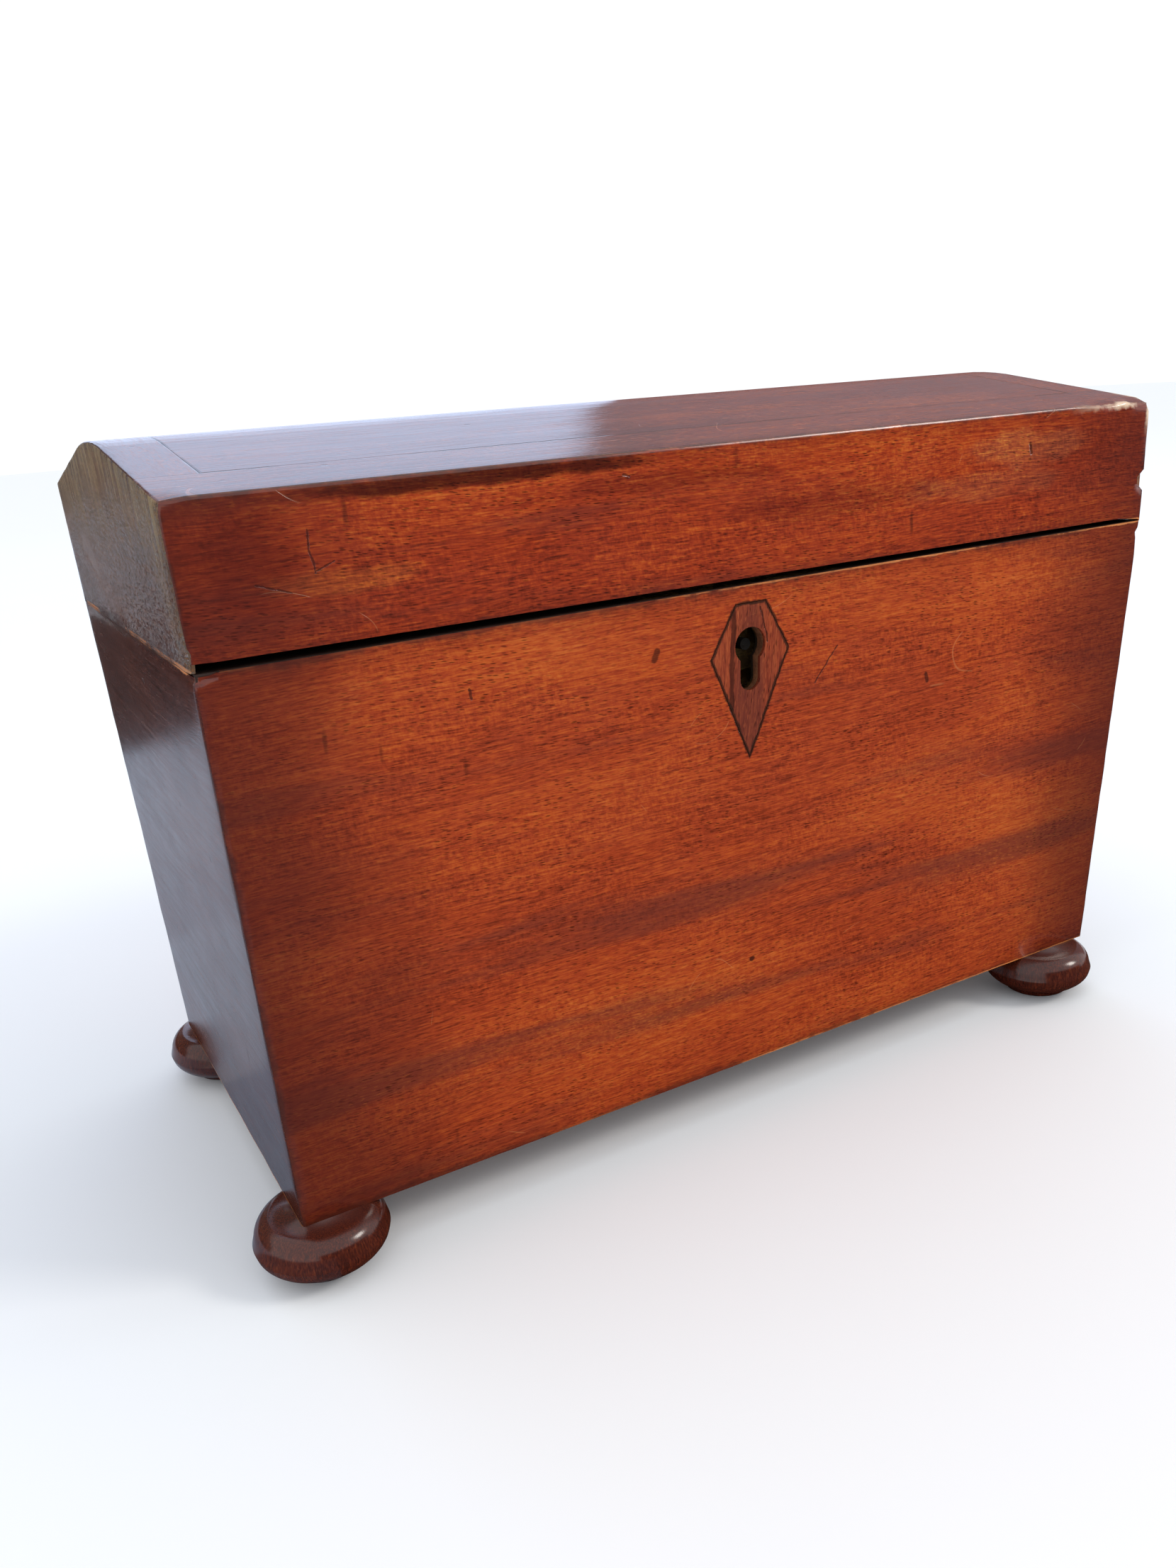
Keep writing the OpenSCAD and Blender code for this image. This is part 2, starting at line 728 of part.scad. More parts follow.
module lid_top_board() color("#9a6a48") placed() difference() {
    intersection() {
        between_ends(lid_z, ridge_z, veneer_t);
        between_faces(lid_z, ridge_z, veneer_t);
        under_roof(veneer_t);
    }
    under_roof(veneer_t + top_t);
}

module lid_front_veneer() color("#8f3a1c") placed()
    under_top_veneer() front_board(rail_z, ridge_z, 0, veneer_t, 0);

module lid_back_veneer() color("#8f3a1c") placed() difference() {
    under_top_veneer() mirror([0, 1, 0]) front_board(lid_z, ridge_z, 0, veneer_t, 0);
    for (x = [-hinge_x, hinge_x]) hinge_recess(x, true);
}

module lid_end_veneer() under_top_veneer() end_board(lid_z, ridge_z, 0, veneer_t, veneer_t);
module lid_right_veneer() color("#8f3a1c") placed() lid_end_veneer();
module lid_left_veneer() color("#8f3a1c") placed() mirror([1, 0, 0]) lid_end_veneer();

// The layer of veneer that covers the whole roof
module top_layer() {
    difference() {
        lid_block(lid_z);
        under_roof(veneer_t);
    }
}

panel_x = caddy_w / 2 - band_x;
panel_y = caddy_d / 2 - band_y;

module top_panel() color("#8f3a1c") placed() intersection() {
    top_layer();
    slice_x(-panel_x, panel_x, lid_z, ridge_z + 1);
    slice_y(-panel_y, panel_y, lid_z, ridge_z + 1);
}

module side_band() {
    intersection() {
        top_layer();
        slice_y(-far, -panel_y, lid_z, ridge_z + 1);
    }
}

module end_band() {
    intersection() {
        top_layer();
        slice_x(panel_x, far, lid_z, ridge_z + 1);
        slice_y(-panel_y, panel_y, lid_z, ridge_z + 1);
    }
}

module top_front_band() color("#74301a") placed() side_band();
module top_back_band() color("#74301a") placed() mirror([0, 1, 0]) side_band();
module top_right_band() color("#74301a") placed() end_band();
module top_left_band() color("#74301a") placed() mirror([1, 0, 0]) end_band();

module left_hinge_lid_leaf() color("#b08d4a") placed() hinge_leaf(-hinge_x, true);
module right_hinge_lid_leaf() color("#b08d4a") placed() hinge_leaf(hinge_x, true);
module lid_hinge_screws() color("#b08d4a") placed() for (x = [-hinge_x, hinge_x]) leaf_screw_row(x, true);

module link_recess() {
    translate([lock_x - link_w / 2, hook_y + hook_t / 2 - link_d / 2, rail_z - eps])
        cube([link_w, link_d, link_t + eps]);
}

module link_plate() color("#b08d4a") placed() difference() {
    union() {
        translate([lock_x - link_w / 2, hook_y + hook_t / 2 - link_d / 2, rail_z])
            cube([link_w, link_d, link_t]);
        for (x = [-hook_pitch, hook_pitch]) translate([lock_x + x, hook_y, hook_tip_z]) {
            cube([hook_leg, hook_t, rail_z - hook_tip_z + eps]);
            translate([-hook_reach, 0, 0]) cube([hook_reach + eps, hook_t, hook_foot_h]);
        }
    }
    link_screw_pair();
}

module link_screws() color("#b08d4a") placed() link_screw_pair();

bottom_board();
front_panel();
back_panel();
left_end();
right_end();
front_veneer();
back_veneer();
left_veneer();
right_veneer();
escutcheon();
foot_front_left();
foot_front_right();
foot_rear_left();
foot_rear_right();
partition();
left_foil_lining();
right_foil_lining();
left_front_fillet();
left_back_fillet();
right_front_fillet();
right_back_fillet();
left_hinge_case_leaf();
right_hinge_case_leaf();
left_hinge_pin();
right_hinge_pin();
case_hinge_screws();
lock_plate();
lock_case();
lock_drill_pin();
lock_spring();
lock_screws();
lock_bolt();
lid_front_rail();
lid_back_rail();
lid_left_end();
lid_right_end();
lid_top_board();
lid_front_veneer();
lid_back_veneer();
lid_left_veneer();
lid_right_veneer();
top_panel();
top_front_band();
top_back_band();
top_left_band();
top_right_band();
left_hinge_lid_leaf();
right_hinge_lid_leaf();
lid_hinge_screws();
link_plate();
link_screws();
left_tea_lid();
left_tea_knob();
right_tea_lid();
right_tea_knob();
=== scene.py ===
"""A Georgian tea caddy: its shown pieces, their finishes, the floor, the light and the camera.

Sizes inside the classes are in millimetres. A mesh is turned to metres when it is finished.
"""

from __future__ import annotations

import logging
import math
from collections.abc import Callable
from dataclasses import dataclass, field
from enum import Enum

import bmesh
import bpy
from mathutils import Matrix, Vector, noise


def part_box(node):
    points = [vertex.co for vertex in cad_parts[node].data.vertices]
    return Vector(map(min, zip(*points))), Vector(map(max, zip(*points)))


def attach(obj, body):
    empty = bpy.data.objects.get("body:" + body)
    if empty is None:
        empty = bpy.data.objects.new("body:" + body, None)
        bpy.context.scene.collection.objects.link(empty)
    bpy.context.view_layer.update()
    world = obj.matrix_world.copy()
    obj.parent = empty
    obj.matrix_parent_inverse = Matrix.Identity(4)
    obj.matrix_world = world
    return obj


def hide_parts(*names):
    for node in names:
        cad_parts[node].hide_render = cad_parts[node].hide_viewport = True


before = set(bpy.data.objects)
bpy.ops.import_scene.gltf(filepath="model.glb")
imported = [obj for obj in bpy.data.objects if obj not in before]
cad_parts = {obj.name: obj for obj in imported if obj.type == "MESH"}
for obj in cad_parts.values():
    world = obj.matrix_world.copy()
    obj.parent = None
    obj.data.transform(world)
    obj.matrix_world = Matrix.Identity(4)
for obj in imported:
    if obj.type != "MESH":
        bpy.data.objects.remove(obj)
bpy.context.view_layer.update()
LOG = logging.getLogger("tea_caddy")
MM = 0.001
HANDS = ("left", "right")

Colour = tuple[float, float, float]
Place = tuple[float, float]
Mesh = bmesh.types.BMesh
Material = bpy.types.Material

# The colours of age, and of painted shade and painted highlight.
GLUE = (0.022, 0.01, 0.006)
JOINT = (0.012, 0.006, 0.005)
CRACK = (0.026, 0.006, 0.004)
KNOCK = (0.03, 0.007, 0.004)
SCRATCH = (0.52, 0.18, 0.06)
SHADE = (0.055, 0.01, 0.006)
END_SHADE = (0.06, 0.01, 0.0075)
GRIME = (0.034, 0.009, 0.006)
RIM_GAP_SHADE = (0.009, 0.005, 0.004)
WORN_WOOD = (0.66, 0.225, 0.055)
PALE_WEAR_AND_HIGHLIGHT = (0.8, 0.6, 0.42)
RUBBED_WOOD = (0.4, 0.29, 0.145)
FROSTED_POLISH = (0.165, 0.17, 0.18)
STAIN_AND_GAP_SHADE = (0.02, 0.008, 0.005)


def rgba(colour: Colour) -> tuple[float, float, float, float]:
    """Returns a linear colour with full opacity."""
    return (colour[0], colour[1], colour[2], 1.0)


def dimmed(colour: Colour, share: float) -> Colour:
    """Returns a share of a colour."""
    return tuple(share * part for part in colour)


def span(node: str) -> tuple[Vector, Vector]:
    """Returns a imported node's lowest and highest corners in millimetres."""
    low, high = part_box(node)
    return Vector(low) / MM, Vector(high) / MM


def middle(low: Vector, high: Vector) -> Place:
    """Returns the middle of a box in x and y."""
    return (low.x + high.x) / 2, (low.y + high.y) / 2


# ---------------------------------------------------------------- shader maths


class Value:
    """A shader socket that takes part in arithmetic."""

    def __init__(self, graph: Graph, socket: bpy.types.NodeSocket) -> None:
        """Keeps the socket and the graph it belongs to."""
        self.graph = graph
        self.socket = socket

    def __add__(self, other: Value | float) -> Value:
        """Returns this plus other."""
        return self.graph.math("ADD", self, other)

    def __sub__(self, other: Value | float) -> Value:
        """Returns this minus other."""
        return self.graph.math("SUBTRACT", self, other)

    def __rsub__(self, other: float) -> Value:
        """Returns other minus this."""
        return self.graph.math("SUBTRACT", other, self)

    def __mul__(self, other: Value | float) -> Value:
        """Returns this times other."""
        return self.graph.math("MULTIPLY", self, other)

    __radd__ = __add__
    __rmul__ = __mul__

    def __abs__(self) -> Value:
        """Returns this without its sign."""
        return self.graph.math("ABSOLUTE", self)

    def least(self, other: Value | float) -> Value:
        """Returns the smaller of this and other."""
        return self.graph.math("MINIMUM", self, other)

    def most(self, other: Value | float) -> Value:
        """Returns the larger of this and other."""
        return self.graph.math("MAXIMUM", self, other)

    def ease(self, low: float, high: float) -> Value:
        """Goes smoothly from 0 to 1 between two values.

        Args:
            low: Where the result is 0.
            high: Where the result is 1. It may be below low.

        Returns:
            The eased value.
        """
        if low > high:
            return 1.0 - self.ease(high, low)
        sockets = {"Value": self, "From Min": low, "From Max": high}
        return self.graph.add("ShaderNodeMapRange", {"interpolation_type": "SMOOTHSTEP"}, sockets)


class Graph:
    """The node tree of one material, and the surface painted on it so far.

    Attributes:
        here: A point of the piece in millimetres.
        colour: The colour so far.
        height: The height so far, mostly from 0 to 1.
        rough: The roughness so far.
    """

    def __init__(self, name: str) -> None:
        """Starts an empty material of that name."""
        self.material = bpy.data.materials.new(name)
        self.material.use_nodes = True
        self.tree = self.material.node_tree
        self.tree.nodes.clear()
        self.here = self.place(Grain.ALONG_X)
        self.colour: Value | None = None
        self.height: Value | None = None
        self.rough: Value | None = None

    def node(self, kind: str, settings: dict | None = None, sockets: dict | None = None) -> bpy.types.Node:
        """Adds one node.

        Args:
            kind: The node's type.
            settings: The node's own settings.
            sockets: A number, a colour or a Value for each socket, by name or place.

        Returns:
            The node.
        """
        made = self.tree.nodes.new(kind)
        for key, value in (settings or {}).items():
            setattr(made, key, value)
        for key, value in (sockets or {}).items():
            if isinstance(value, Value):
                self.tree.links.new(value.socket, made.inputs[key])
            else:
                made.inputs[key].default_value = value
        return made

    def add(self, kind: str, settings: dict | None = None, sockets: dict | None = None) -> Value:
        """Adds one node and returns its first result."""
        return Value(self, self.node(kind, settings, sockets).outputs[0])

    def math(self, operation: str, *parts: Value | float) -> Value:
        """Adds a Math node and returns its result."""
        return self.add("ShaderNodeMath", {"operation": operation}, dict(enumerate(parts)))

    def vector_math(self, operation: str, *parts: Value | Colour) -> Value:
        """Adds a Vector Math node and returns its result."""
        return self.add("ShaderNodeVectorMath", {"operation": operation}, dict(enumerate(parts)))

    def mix(
        self, factor: Value | float, first: Value | Colour, second: Value | Colour, blend: str = "MIX",
    ) -> Value:
        """Mixes two colours.

        Args:
            factor: How much of the second colour shows.
            first: The colour below.
            second: The colour above.
            blend: The way of mixing.

        Returns:
            The mixed colour.
        """
        ends = [part if isinstance(part, Value) else rgba(part) for part in (first, second)]
        settings = {"data_type": "RGBA", "blend_type": blend}
        made = self.node("ShaderNodeMix", settings, {0: factor, 6: ends[0], 7: ends[1]})
        return Value(self, made.outputs[2])

    def tint(self, mask: Value | float, colour: Value | Colour) -> None:
        """Mixes a colour into the surface's own."""
        self.colour = self.mix(mask, self.colour, colour)

    def ramp(self, value: Value, stops: list[tuple[float, Colour]]) -> Value:
        """Turns a value into a colour.

        Args:
            value: The value.
            stops: Each stop's place and colour, in order.

        Returns:
            The colour.
        """
        made = self.node("ShaderNodeValToRGB", None, {0: value})
        elements = made.color_ramp.elements
        while len(elements) < len(stops):
            elements.new(1.0)
        for element, (place, colour) in zip(elements, stops):
            element.position = place
            element.color = rgba(colour)
        return Value(self, made.outputs[0])

    def place(self, grain: Grain, shift: Colour = (0.0, 0.0, 0.0)) -> Value:
        """Reads a point of the piece in millimetres, turned so that x runs along the grain.

        Args:
            grain: Which way the grain runs.
            shift: A shift of the pattern in millimetres.

        Returns:
            The turned point.
        """
        source = Value(self, self.node("ShaderNodeTexCoord").outputs["Object"])
        sockets = {"Vector": source, "Location": shift, "Rotation": grain.value, "Scale": (1.0 / MM,) * 3}
        return self.add("ShaderNodeMapping", None, sockets)

    def split(self, point: Value) -> tuple[Value, Value, Value]:
        """Returns the three parts of a point."""
        made = self.node("ShaderNodeSeparateXYZ", None, {0: point})
        return tuple(Value(self, made.outputs[index]) for index in range(3))

    def join(self, x: Value | float, y: Value | float, z: Value | float) -> Value:
        """Returns a point made of three parts."""
        return self.add("ShaderNodeCombineXYZ", None, {0: x, 1: y, 2: z})

    def waved(self, point: Value, sway: Value) -> Value:
        """Shifts a point across the grain."""
        return self.vector_math("ADD", point, self.join(0.0, sway, sway))

    def scaled(self, point: Value, size: Colour | float) -> Value:
        """Divides a point by the pattern's size in millimetres, one for all axes or one for each."""
        return self.vector_math("DIVIDE", point, size if isinstance(size, tuple) else (size,) * 3)

    def noise(self, point: Value, size: Colour | float, detail: float = 1.0, rough: float = 0.5) -> Value:
        """Adds a noise.

        Args:
            point: Where it is read.
            size: The size of its features in millimetres.
            detail: How many finer layers it has.
            rough: How strong the finer layers are.

        Returns:
            A value around 0.5.
        """
        sockets = {"Vector": self.scaled(point, size), "Scale": 1.0, "Detail": detail, "Roughness": rough}
        return self.add("ShaderNodeTexNoise", None, sockets)

    def wobble(self, point: Value, size: Colour | float, detail: float = 1.0, rough: float = 0.5) -> Value:
        """Adds the same noise, but around 0."""
        return self.noise(point, size, detail, rough) - 0.5

    def cells(self, point: Value, size: Colour | float) -> tuple[Value, Value]:
        """Scatters points, one in each cell.

        Args:
            point: Where they are read.
            size: The size of a cell in millimetres.

        Returns:
            The distance to the nearest point in cells, and a random number of its cell.
        """
        made = self.node("ShaderNodeTexVoronoi", None, {"Vector": self.scaled(point, size), "Scale": 1.0})
        return Value(self, made.outputs[0]), self.split(Value(self, made.outputs[1]))[0]

    def finish(self, relief: float | None, more: dict | None = None) -> Material:
        """Closes the graph with a surface shader.

        Args:
            relief: How many millimetres a height of 1 stands for, or None for a flat surface.
            more: Other values of the surface, by socket name.

        Returns:
            The finished material.
        """
        sockets = {"Base Color": self.colour, "Roughness": self.rough} | (more or {})
        if relief is not None:
            bump = {"Height": self.height, "Distance": relief * MM, "Strength": 1.0}
            sockets["Normal"] = self.add("ShaderNodeBump", None, bump)
        shader = self.node("ShaderNodeBsdfPrincipled", None, sockets)
        output = self.node("ShaderNodeOutputMaterial")
        self.tree.links.new(shader.outputs[0], output.inputs[0])
        return self.material


class Grain(Enum):
    """Which way the grain of a board runs: the turn that lays it along x."""

    ALONG_X = (0.0, 0.0, 0.0)
    ALONG_Y = (0.0, 0.0, -math.pi / 2)
    ALONG_Z = (0.0, math.pi / 2, 0.0)


# ---------------------------------------------------------------- shells and their arrises


@dataclass(frozen=True)
class Shell:
    """A box with leaning sides, and a roof if it has one.

    Attributes:
        mid: The middle in x and y.
        half: Half the width and depth at base_z.
        lean: How much each half grows per millimetre of height.
        base_z: The height where half is taken.
        low_z: The lower edge.
        high_z: The upper edge at the front and back.
        rise: The roof's rise per millimetre from front or back to the ridge.
        crest_z: The height of the rounded ridge.
        ridge_r: The radius of the rounded ridge.
    """

    mid: Place
    half: Place
    lean: Place
    base_z: float
    low_z: float
    high_z: float
    rise: float = 0.0
    crest_z: float = 0.0
    ridge_r: float = 90.0

    @property
    def sides(self) -> tuple[float, float, float, float]:
        """Returns the places of the left, right, front and back sides at base_z."""
        (x, y), (half_x, half_y) = self.mid, self.half
        return x - half_x, x + half_x, y - half_y, y + half_y

    def gaps(self, graph: Graph) -> tuple[Value, Value, Value, Value]:
        """Measures how deep the surface lies under each skin.

        Args:
            graph: The surface.

        Returns:
            The depth under the ends, the long sides, the top and the bottom.
        """
        x, y, z = graph.split(graph.here)
        off_x = abs(x - self.mid[0])
        off_y = abs(y - self.mid[1])
        deep_x = abs(self.half[0] - off_x + self.lean[0] * (z - self.base_z))
        deep_y = abs(self.half[1] - off_y + self.lean[1] * (z - self.base_z))
        deep_top = abs(self.high_z - z)
        if self.rise:
            round_off = (self.ridge_r * math.sin(math.atan(self.rise)) - off_y).most(0.0)
            line = self.high_z + self.rise * (self.half[1] - off_y)
            deep_top = abs(line - round_off * round_off * (0.5 / self.ridge_r) - z)
        return deep_x, deep_y, deep_top, abs(z - self.low_z)

    def half_at(self, z: float) -> Place:
        """Returns half the width and depth at a height."""
        rise = z - self.base_z
        return self.half[0] + self.lean[0] * rise, self.half[1] + self.lean[1] * rise

    def block(self, low_z: float, high_z: float) -> Mesh:
        """Makes the leaning block between two heights.

        Args:
            low_z: The bottom's height.
            high_z: The top's height.

        Returns:
            The block as a closed mesh.
        """
        bm = bmesh.new()
        bmesh.ops.create_cube(bm, size=2.0)
        for vert in bm.verts:
            z = high_z if vert.co.z > 0 else low_z
            half = self.half_at(z)
            vert.co = (self.mid[0] + half[0] * vert.co.x, self.mid[1] + half[1] * vert.co.y, z)
        return bm


@dataclass(frozen=True)
class Kite:
    """The outline of the inlaid escutcheon, measured from the rim's edge downwards.

    Attributes:
        mid_x: The place of its upright middle line.
        rim_z: The height that depths are measured from.
        top: Half the top's width, and its depth.
        wide: Half the greatest width, and its depth.
        point: The depth of the lower point.
    """

    mid_x: float
    rim_z: float
    top: Place = (3.7, 3.7)
    wide: Place = (9.75, 14.3)
    point: float = 36.7

    def sides(self) -> list[tuple[Vector, float]]:
        """Lists the outline's straight sides.

        Returns:
            For each side the outward direction over (half width, depth), and its offset.
        """
        corners = [Vector((0.0, self.top[1])), Vector(self.top), Vector(self.wide), Vector((0.0, self.point))]
        lines = []
        for first, last in zip(corners, corners[1:]):
            run = (last - first).normalized()
            out = Vector((run.y, -run.x))
            lines.append((out, out.dot(first)))
        return lines

    def distance(self, graph: Graph) -> Value:
        """Measures the surface's distance to the outline.

        Args:
            graph: The surface.

        Returns:
            The distance in millimetres, above 0 outside the outline.
        """
        x, _, z = graph.split(graph.here)
        wide, deep = abs(x - self.mid_x), self.rim_z - z
        found = None
        for out, offset in self.sides():
            gap = wide * out.x + deep * out.y - offset
            found = gap if found is None else found.most(gap)
        return found


# ---------------------------------------------------------------- finishes


@dataclass(frozen=True)
class Scar:
    """One dark crack or dent on a long side.

    Attributes:
        start: Its first end in x and z.
        end: Its other end.
        width: Half its width in the middle.
    """

    start: Place
    end: Place
    width: float

    def mask(self, x: Value, z: Value, rag: Value) -> Value:
        """Draws the scar.

        Args:
            x: The place in x.
            z: The place in z.
            rag: A fine unevenness around 0.

        Returns:
            1 inside the scar, 0 outside.
        """
        run = (self.end[0] - self.start[0], self.end[1] - self.start[1])
        square = run[0] ** 2 + run[1] ** 2
        from_x, from_z = x - self.start[0], z - self.start[1]
        share = (from_x * (run[0] / square) + from_z * (run[1] / square)).most(0.0).least(1.0)
        off_x, off_z = from_x - share * run[0], from_z - share * run[1]
        gap = off_x * off_x + off_z * off_z + rag * self.width
        return gap.ease(self.width ** 2, 0.2 * self.width ** 2)


@dataclass(frozen=True)
class Patch:
    """One soft patch of another tone on a long side or the roof; some are painted sheen and reflections.

    Attributes:
        at: Its middle in x and z.
        reach: How far it reaches in x and z.
        tone: What the colour there is multiplied by.
        strength: How strong it is.
    """

    at: Place
    reach: Place
    tone: Colour
    strength: float


@dataclass(frozen=True)
class Mahogany:
    """Old mahogany under a French polish.

    Attributes:
        name: The material's name.
        grain: Which way the grain runs.
        shift: A shift of the pattern, so that boards differ.
        tones: The darkest grain, the common colour, where light catches the fibres, and the palest flecks.
        shell: The shell whose arrises are worn and grimy, with painted shade beside them.
        kite: The inlay whose glue line shows.
        seam: The corners of the roof's panel, whose joint to the bands shows.
        smoke: How strong the smoky bands are.
        figure: How strong the rippled figure is.
        open_pores: How strong the pores are.
        contrast: How strongly the grain's tones differ.
        relief: How strongly the grain stands in relief.
        gloss: The roughness of the polish.
        craze: How much the polish has crazed.
        knocks: How strong dents, specks and scratches are.
        scars: The dark cracks and dents that have a place of their own.
        sheen_and_tone_patches: The patches of another tone, some of them painted sheen and reflections.
        dark_ends: How much painted shade darkens a long side towards its ends.
        wear_from: The places in x between which the wear of the arrises grows, or None for even wear.
        pale_wear_and_highlight_from: The places in x between which the worn arris turns broad and pale, with
            a painted highlight there.
        bared_corner: How much the polish has gone beside the upright front corner of the left end.
    """

    name: str
    grain: Grain
    shift: Colour = (0.0, 0.0, 0.0)
    tones: tuple[Colour, ...] = (
        (0.14, 0.017, 0.005), (0.31, 0.0385, 0.0095), (0.41, 0.067, 0.011), (0.53, 0.135, 0.022))
    shell: Shell | None = None
    kite: Kite | None = None
    seam: tuple[Vector, Vector] | None = None
    smoke: float = 0.66
    figure: float = 1.0
    open_pores: float = 1.0
    contrast: float = 1.0
    relief: float = 1.0
    gloss: float = 0.17
    craze: float = 0.0
    knocks: float = 1.0
    scars: tuple[Scar, ...] = ()
    sheen_and_tone_patches: tuple[Patch, ...] = ()
    dark_ends: float = 0.0
    wear_from: Place | None = None
    pale_wear_and_highlight_from: Place | None = None
    bared_corner: float = 0.0

    def build(self) -> Material:
        """Makes the material, layer by layer."""
        graph = Graph(self.name)
        self.timber(graph)
        self.marks(graph)
        if self.sheen_and_tone_patches:
            self.patches(graph)
        if self.scars:
            self.cracks(graph)
        if self.seam:
            self.joint_lines(graph)
        if self.kite:
            self.glue_line(graph)
        if self.shell:
            self.edges(graph)
        return graph.finish(0.1, {"IOR": 1.5, "Specular IOR Level": 0.5})

    def timber(self, graph: Graph) -> None:
        """Lays out grain, figure and pores.

        Args:
            graph: The bare surface.
        """
        deep, gold = self.tones[0], self.tones[-1]
        along = graph.place(self.grain, self.shift)
        sway = graph.wobble(along, (150.0, 70.0, 70.0), 2.0) * 10.0
        sway = sway + graph.wobble(along, (24.0, 6.0, 6.0)) * 0.8
        lines = graph.waved(along, sway)
        tilted = graph.add("ShaderNodeMapping", None, {"Vector": along, "Rotation": (0.25, 0.18, 0.35)})
        glow = graph.wobble(along, (80.0, 30.0, 30.0), 2.0)
        streak = graph.wobble(lines, (90.0, 0.8, 0.8), 3.0, 0.6)
        fibre = graph.wobble(lines, (4.0, 0.32, 0.32), 2.0, 0.65)
        ripple = graph.wobble(tilted, (0.8, 1.3, 1.3), 2.0, 0.65)
        calm = graph.noise(along, (28.0, 14.0, 14.0)).ease(0.38, 0.62)
        grainy = streak * 0.42 + fibre * 0.95 + ripple * (calm * 0.7 + 0.3) * (0.55 * self.figure)
        tone = glow * 0.55 + grainy * self.contrast + 0.49
        graph.colour = graph.ramp(tone, list(zip((0.2, 0.44, 0.62, 0.92), self.tones)))
        smoke = graph.noise(lines, (160.0, 13.0, 13.0), 3.0, 0.6).ease(0.49, 0.68)
        dusk = tuple(0.42 * part + more for part, more in zip(deep, (0.062, 0.017, 0.013)))
        graph.tint(smoke * self.smoke, dusk)
        fleck = graph.noise(lines, (1.7, 0.36, 0.36)).ease(0.58, 0.72) * glow.ease(-0.1, 0.12)
        graph.tint(fleck * 0.36, gold)
        u, v, w = graph.split(lines)
        distance, chance = graph.cells(graph.join(u, v + u * 0.1, w + u * 0.1), (2.4, 0.38, 0.38))
        crowd = graph.noise(along, (22.0, 9.0, 9.0)).ease(0.35, 0.7)
        pore = distance.ease(0.42, 0.16) * chance.ease(0.25, 0.4) * (crowd * 0.6 + 0.4) * self.open_pores
        graph.tint(pore * 0.78, dimmed(deep, 0.22))
        wave = graph.noise(along, (24.0, 9.0, 9.0), 2.0)
        height = wave * 0.7 + fibre * (0.06 * self.relief) - pore * 0.05 + ripple * (0.03 * self.figure)
        graph.height = height + streak * (0.1 * (self.relief - 1.0))
        if self.craze:
            crack, _ = graph.cells(lines, (3.2, 0.9, 0.9))
            flaky = graph.noise(along, (26.0, 12.0, 12.0), 2.0).ease(0.34, 0.56)
            frost = graph.noise(along, (1.1, 0.8, 0.8), 3.0, 0.75).ease(0.47, 0.64) * flaky
            graph.height = graph.height + (crack * 1.4 * flaky + frost * 2.4) * self.craze
            graph.tint(frost * (0.6 * self.craze), FROSTED_POLISH)
        rough = graph.noise(along, (14.0, 6.0, 6.0), 3.0, 0.6) * 0.12 + (self.gloss - 0.06)
        graph.rough = rough + (streak + fibre * 0.6) * (0.16 * (self.relief - 1.0))

    def marks(self, graph: Graph) -> None:
        """Adds specks, upright dents and hair scratches.

        Args:
            graph: The surface.
        """
        here = graph.here
        rag = graph.wobble(here, 1.1, 2.0) * 0.045
        dot, luck = graph.cells(here, (21.0, 21.0, 17.0))
        speck = (dot + rag).ease(0.045, 0.022) * luck.ease(0.3, 0.4)
        nick, fate = graph.cells(here, (9.0, 9.0, 46.0))
        dent = (nick + rag * 0.8).ease(0.085, 0.04) * fate.ease(0.5, 0.6)
        web = abs(graph.wobble(here, (34.0, 34.0, 30.0)))
        hair = web.ease(0.0022, 0.0008) * graph.noise(here, (13.0, 13.0, 11.0)).ease(0.63, 0.67)
        dark = (speck * 0.85).most(dent * 0.6) * self.knocks
        graph.tint(dark, KNOCK)
        graph.tint(hair * (0.34 * self.knocks), SCRATCH)
        graph.height = graph.height - dark * 0.7 - hair * 0.25

    def patches(self, graph: Graph) -> None:
        """Adds the patches of another tone, some of them painted sheen and reflections.

        Args:
            graph: The surface.
        """
        x, _, z = graph.split(graph.here)
        soft = graph.wobble(graph.here, (9.0, 9.0, 5.0), 3.0, 0.6)
        for patch in self.sheen_and_tone_patches:
            off_x = (x - patch.at[0]) * (1.0 / patch.reach[0])
            off_z = (z - patch.at[1]) * (1.0 / patch.reach[1])
            spot = (off_x * off_x + off_z * off_z + soft * 2.0).ease(1.1, 0.1)
            graph.tint(spot * patch.strength, graph.mix(1.0, graph.colour, patch.tone, "MULTIPLY"))

    def cracks(self, graph: Graph) -> None:
        """Adds the scars.

        Args:
            graph: The surface.
        """
        x, _, z = graph.split(graph.here)
        rag = graph.wobble(graph.here, 0.7, 2.0) * 0.5
        sway = graph.wobble(graph.here, 4.0, 2.0) * 1.3
        found = None
        for scar in self.scars:
            mask = scar.mask(x + sway, z + sway * 0.3, rag)
            found = mask if found is None else found.most(mask)
        graph.tint(found * 0.72, CRACK)
        graph.height = graph.height - found * 0.8

    def joint_lines(self, graph: Graph) -> None:
        """Darkens the joint between the roof's panel and its bands.

        Args:
            graph: The surface.
        """
        low, high = self.seam
        (mid_x, mid_y), (x, y, _) = middle(low, high), graph.split(graph.here)
        outside = (abs(x - mid_x) - (high.x - low.x) / 2).most(abs(y - mid_y) - (high.y - low.y) / 2)
        broken = graph.noise(graph.here, 17.0).ease(0.36, 0.52)
        line = abs(outside + graph.wobble(graph.here, 2.4, 2.0) * 0.3).ease(0.42, 0.14)
        line = line * (broken * 0.75 + 0.25)
        graph.tint(line * 0.85, JOINT)
        graph.height = graph.height - line * 0.7

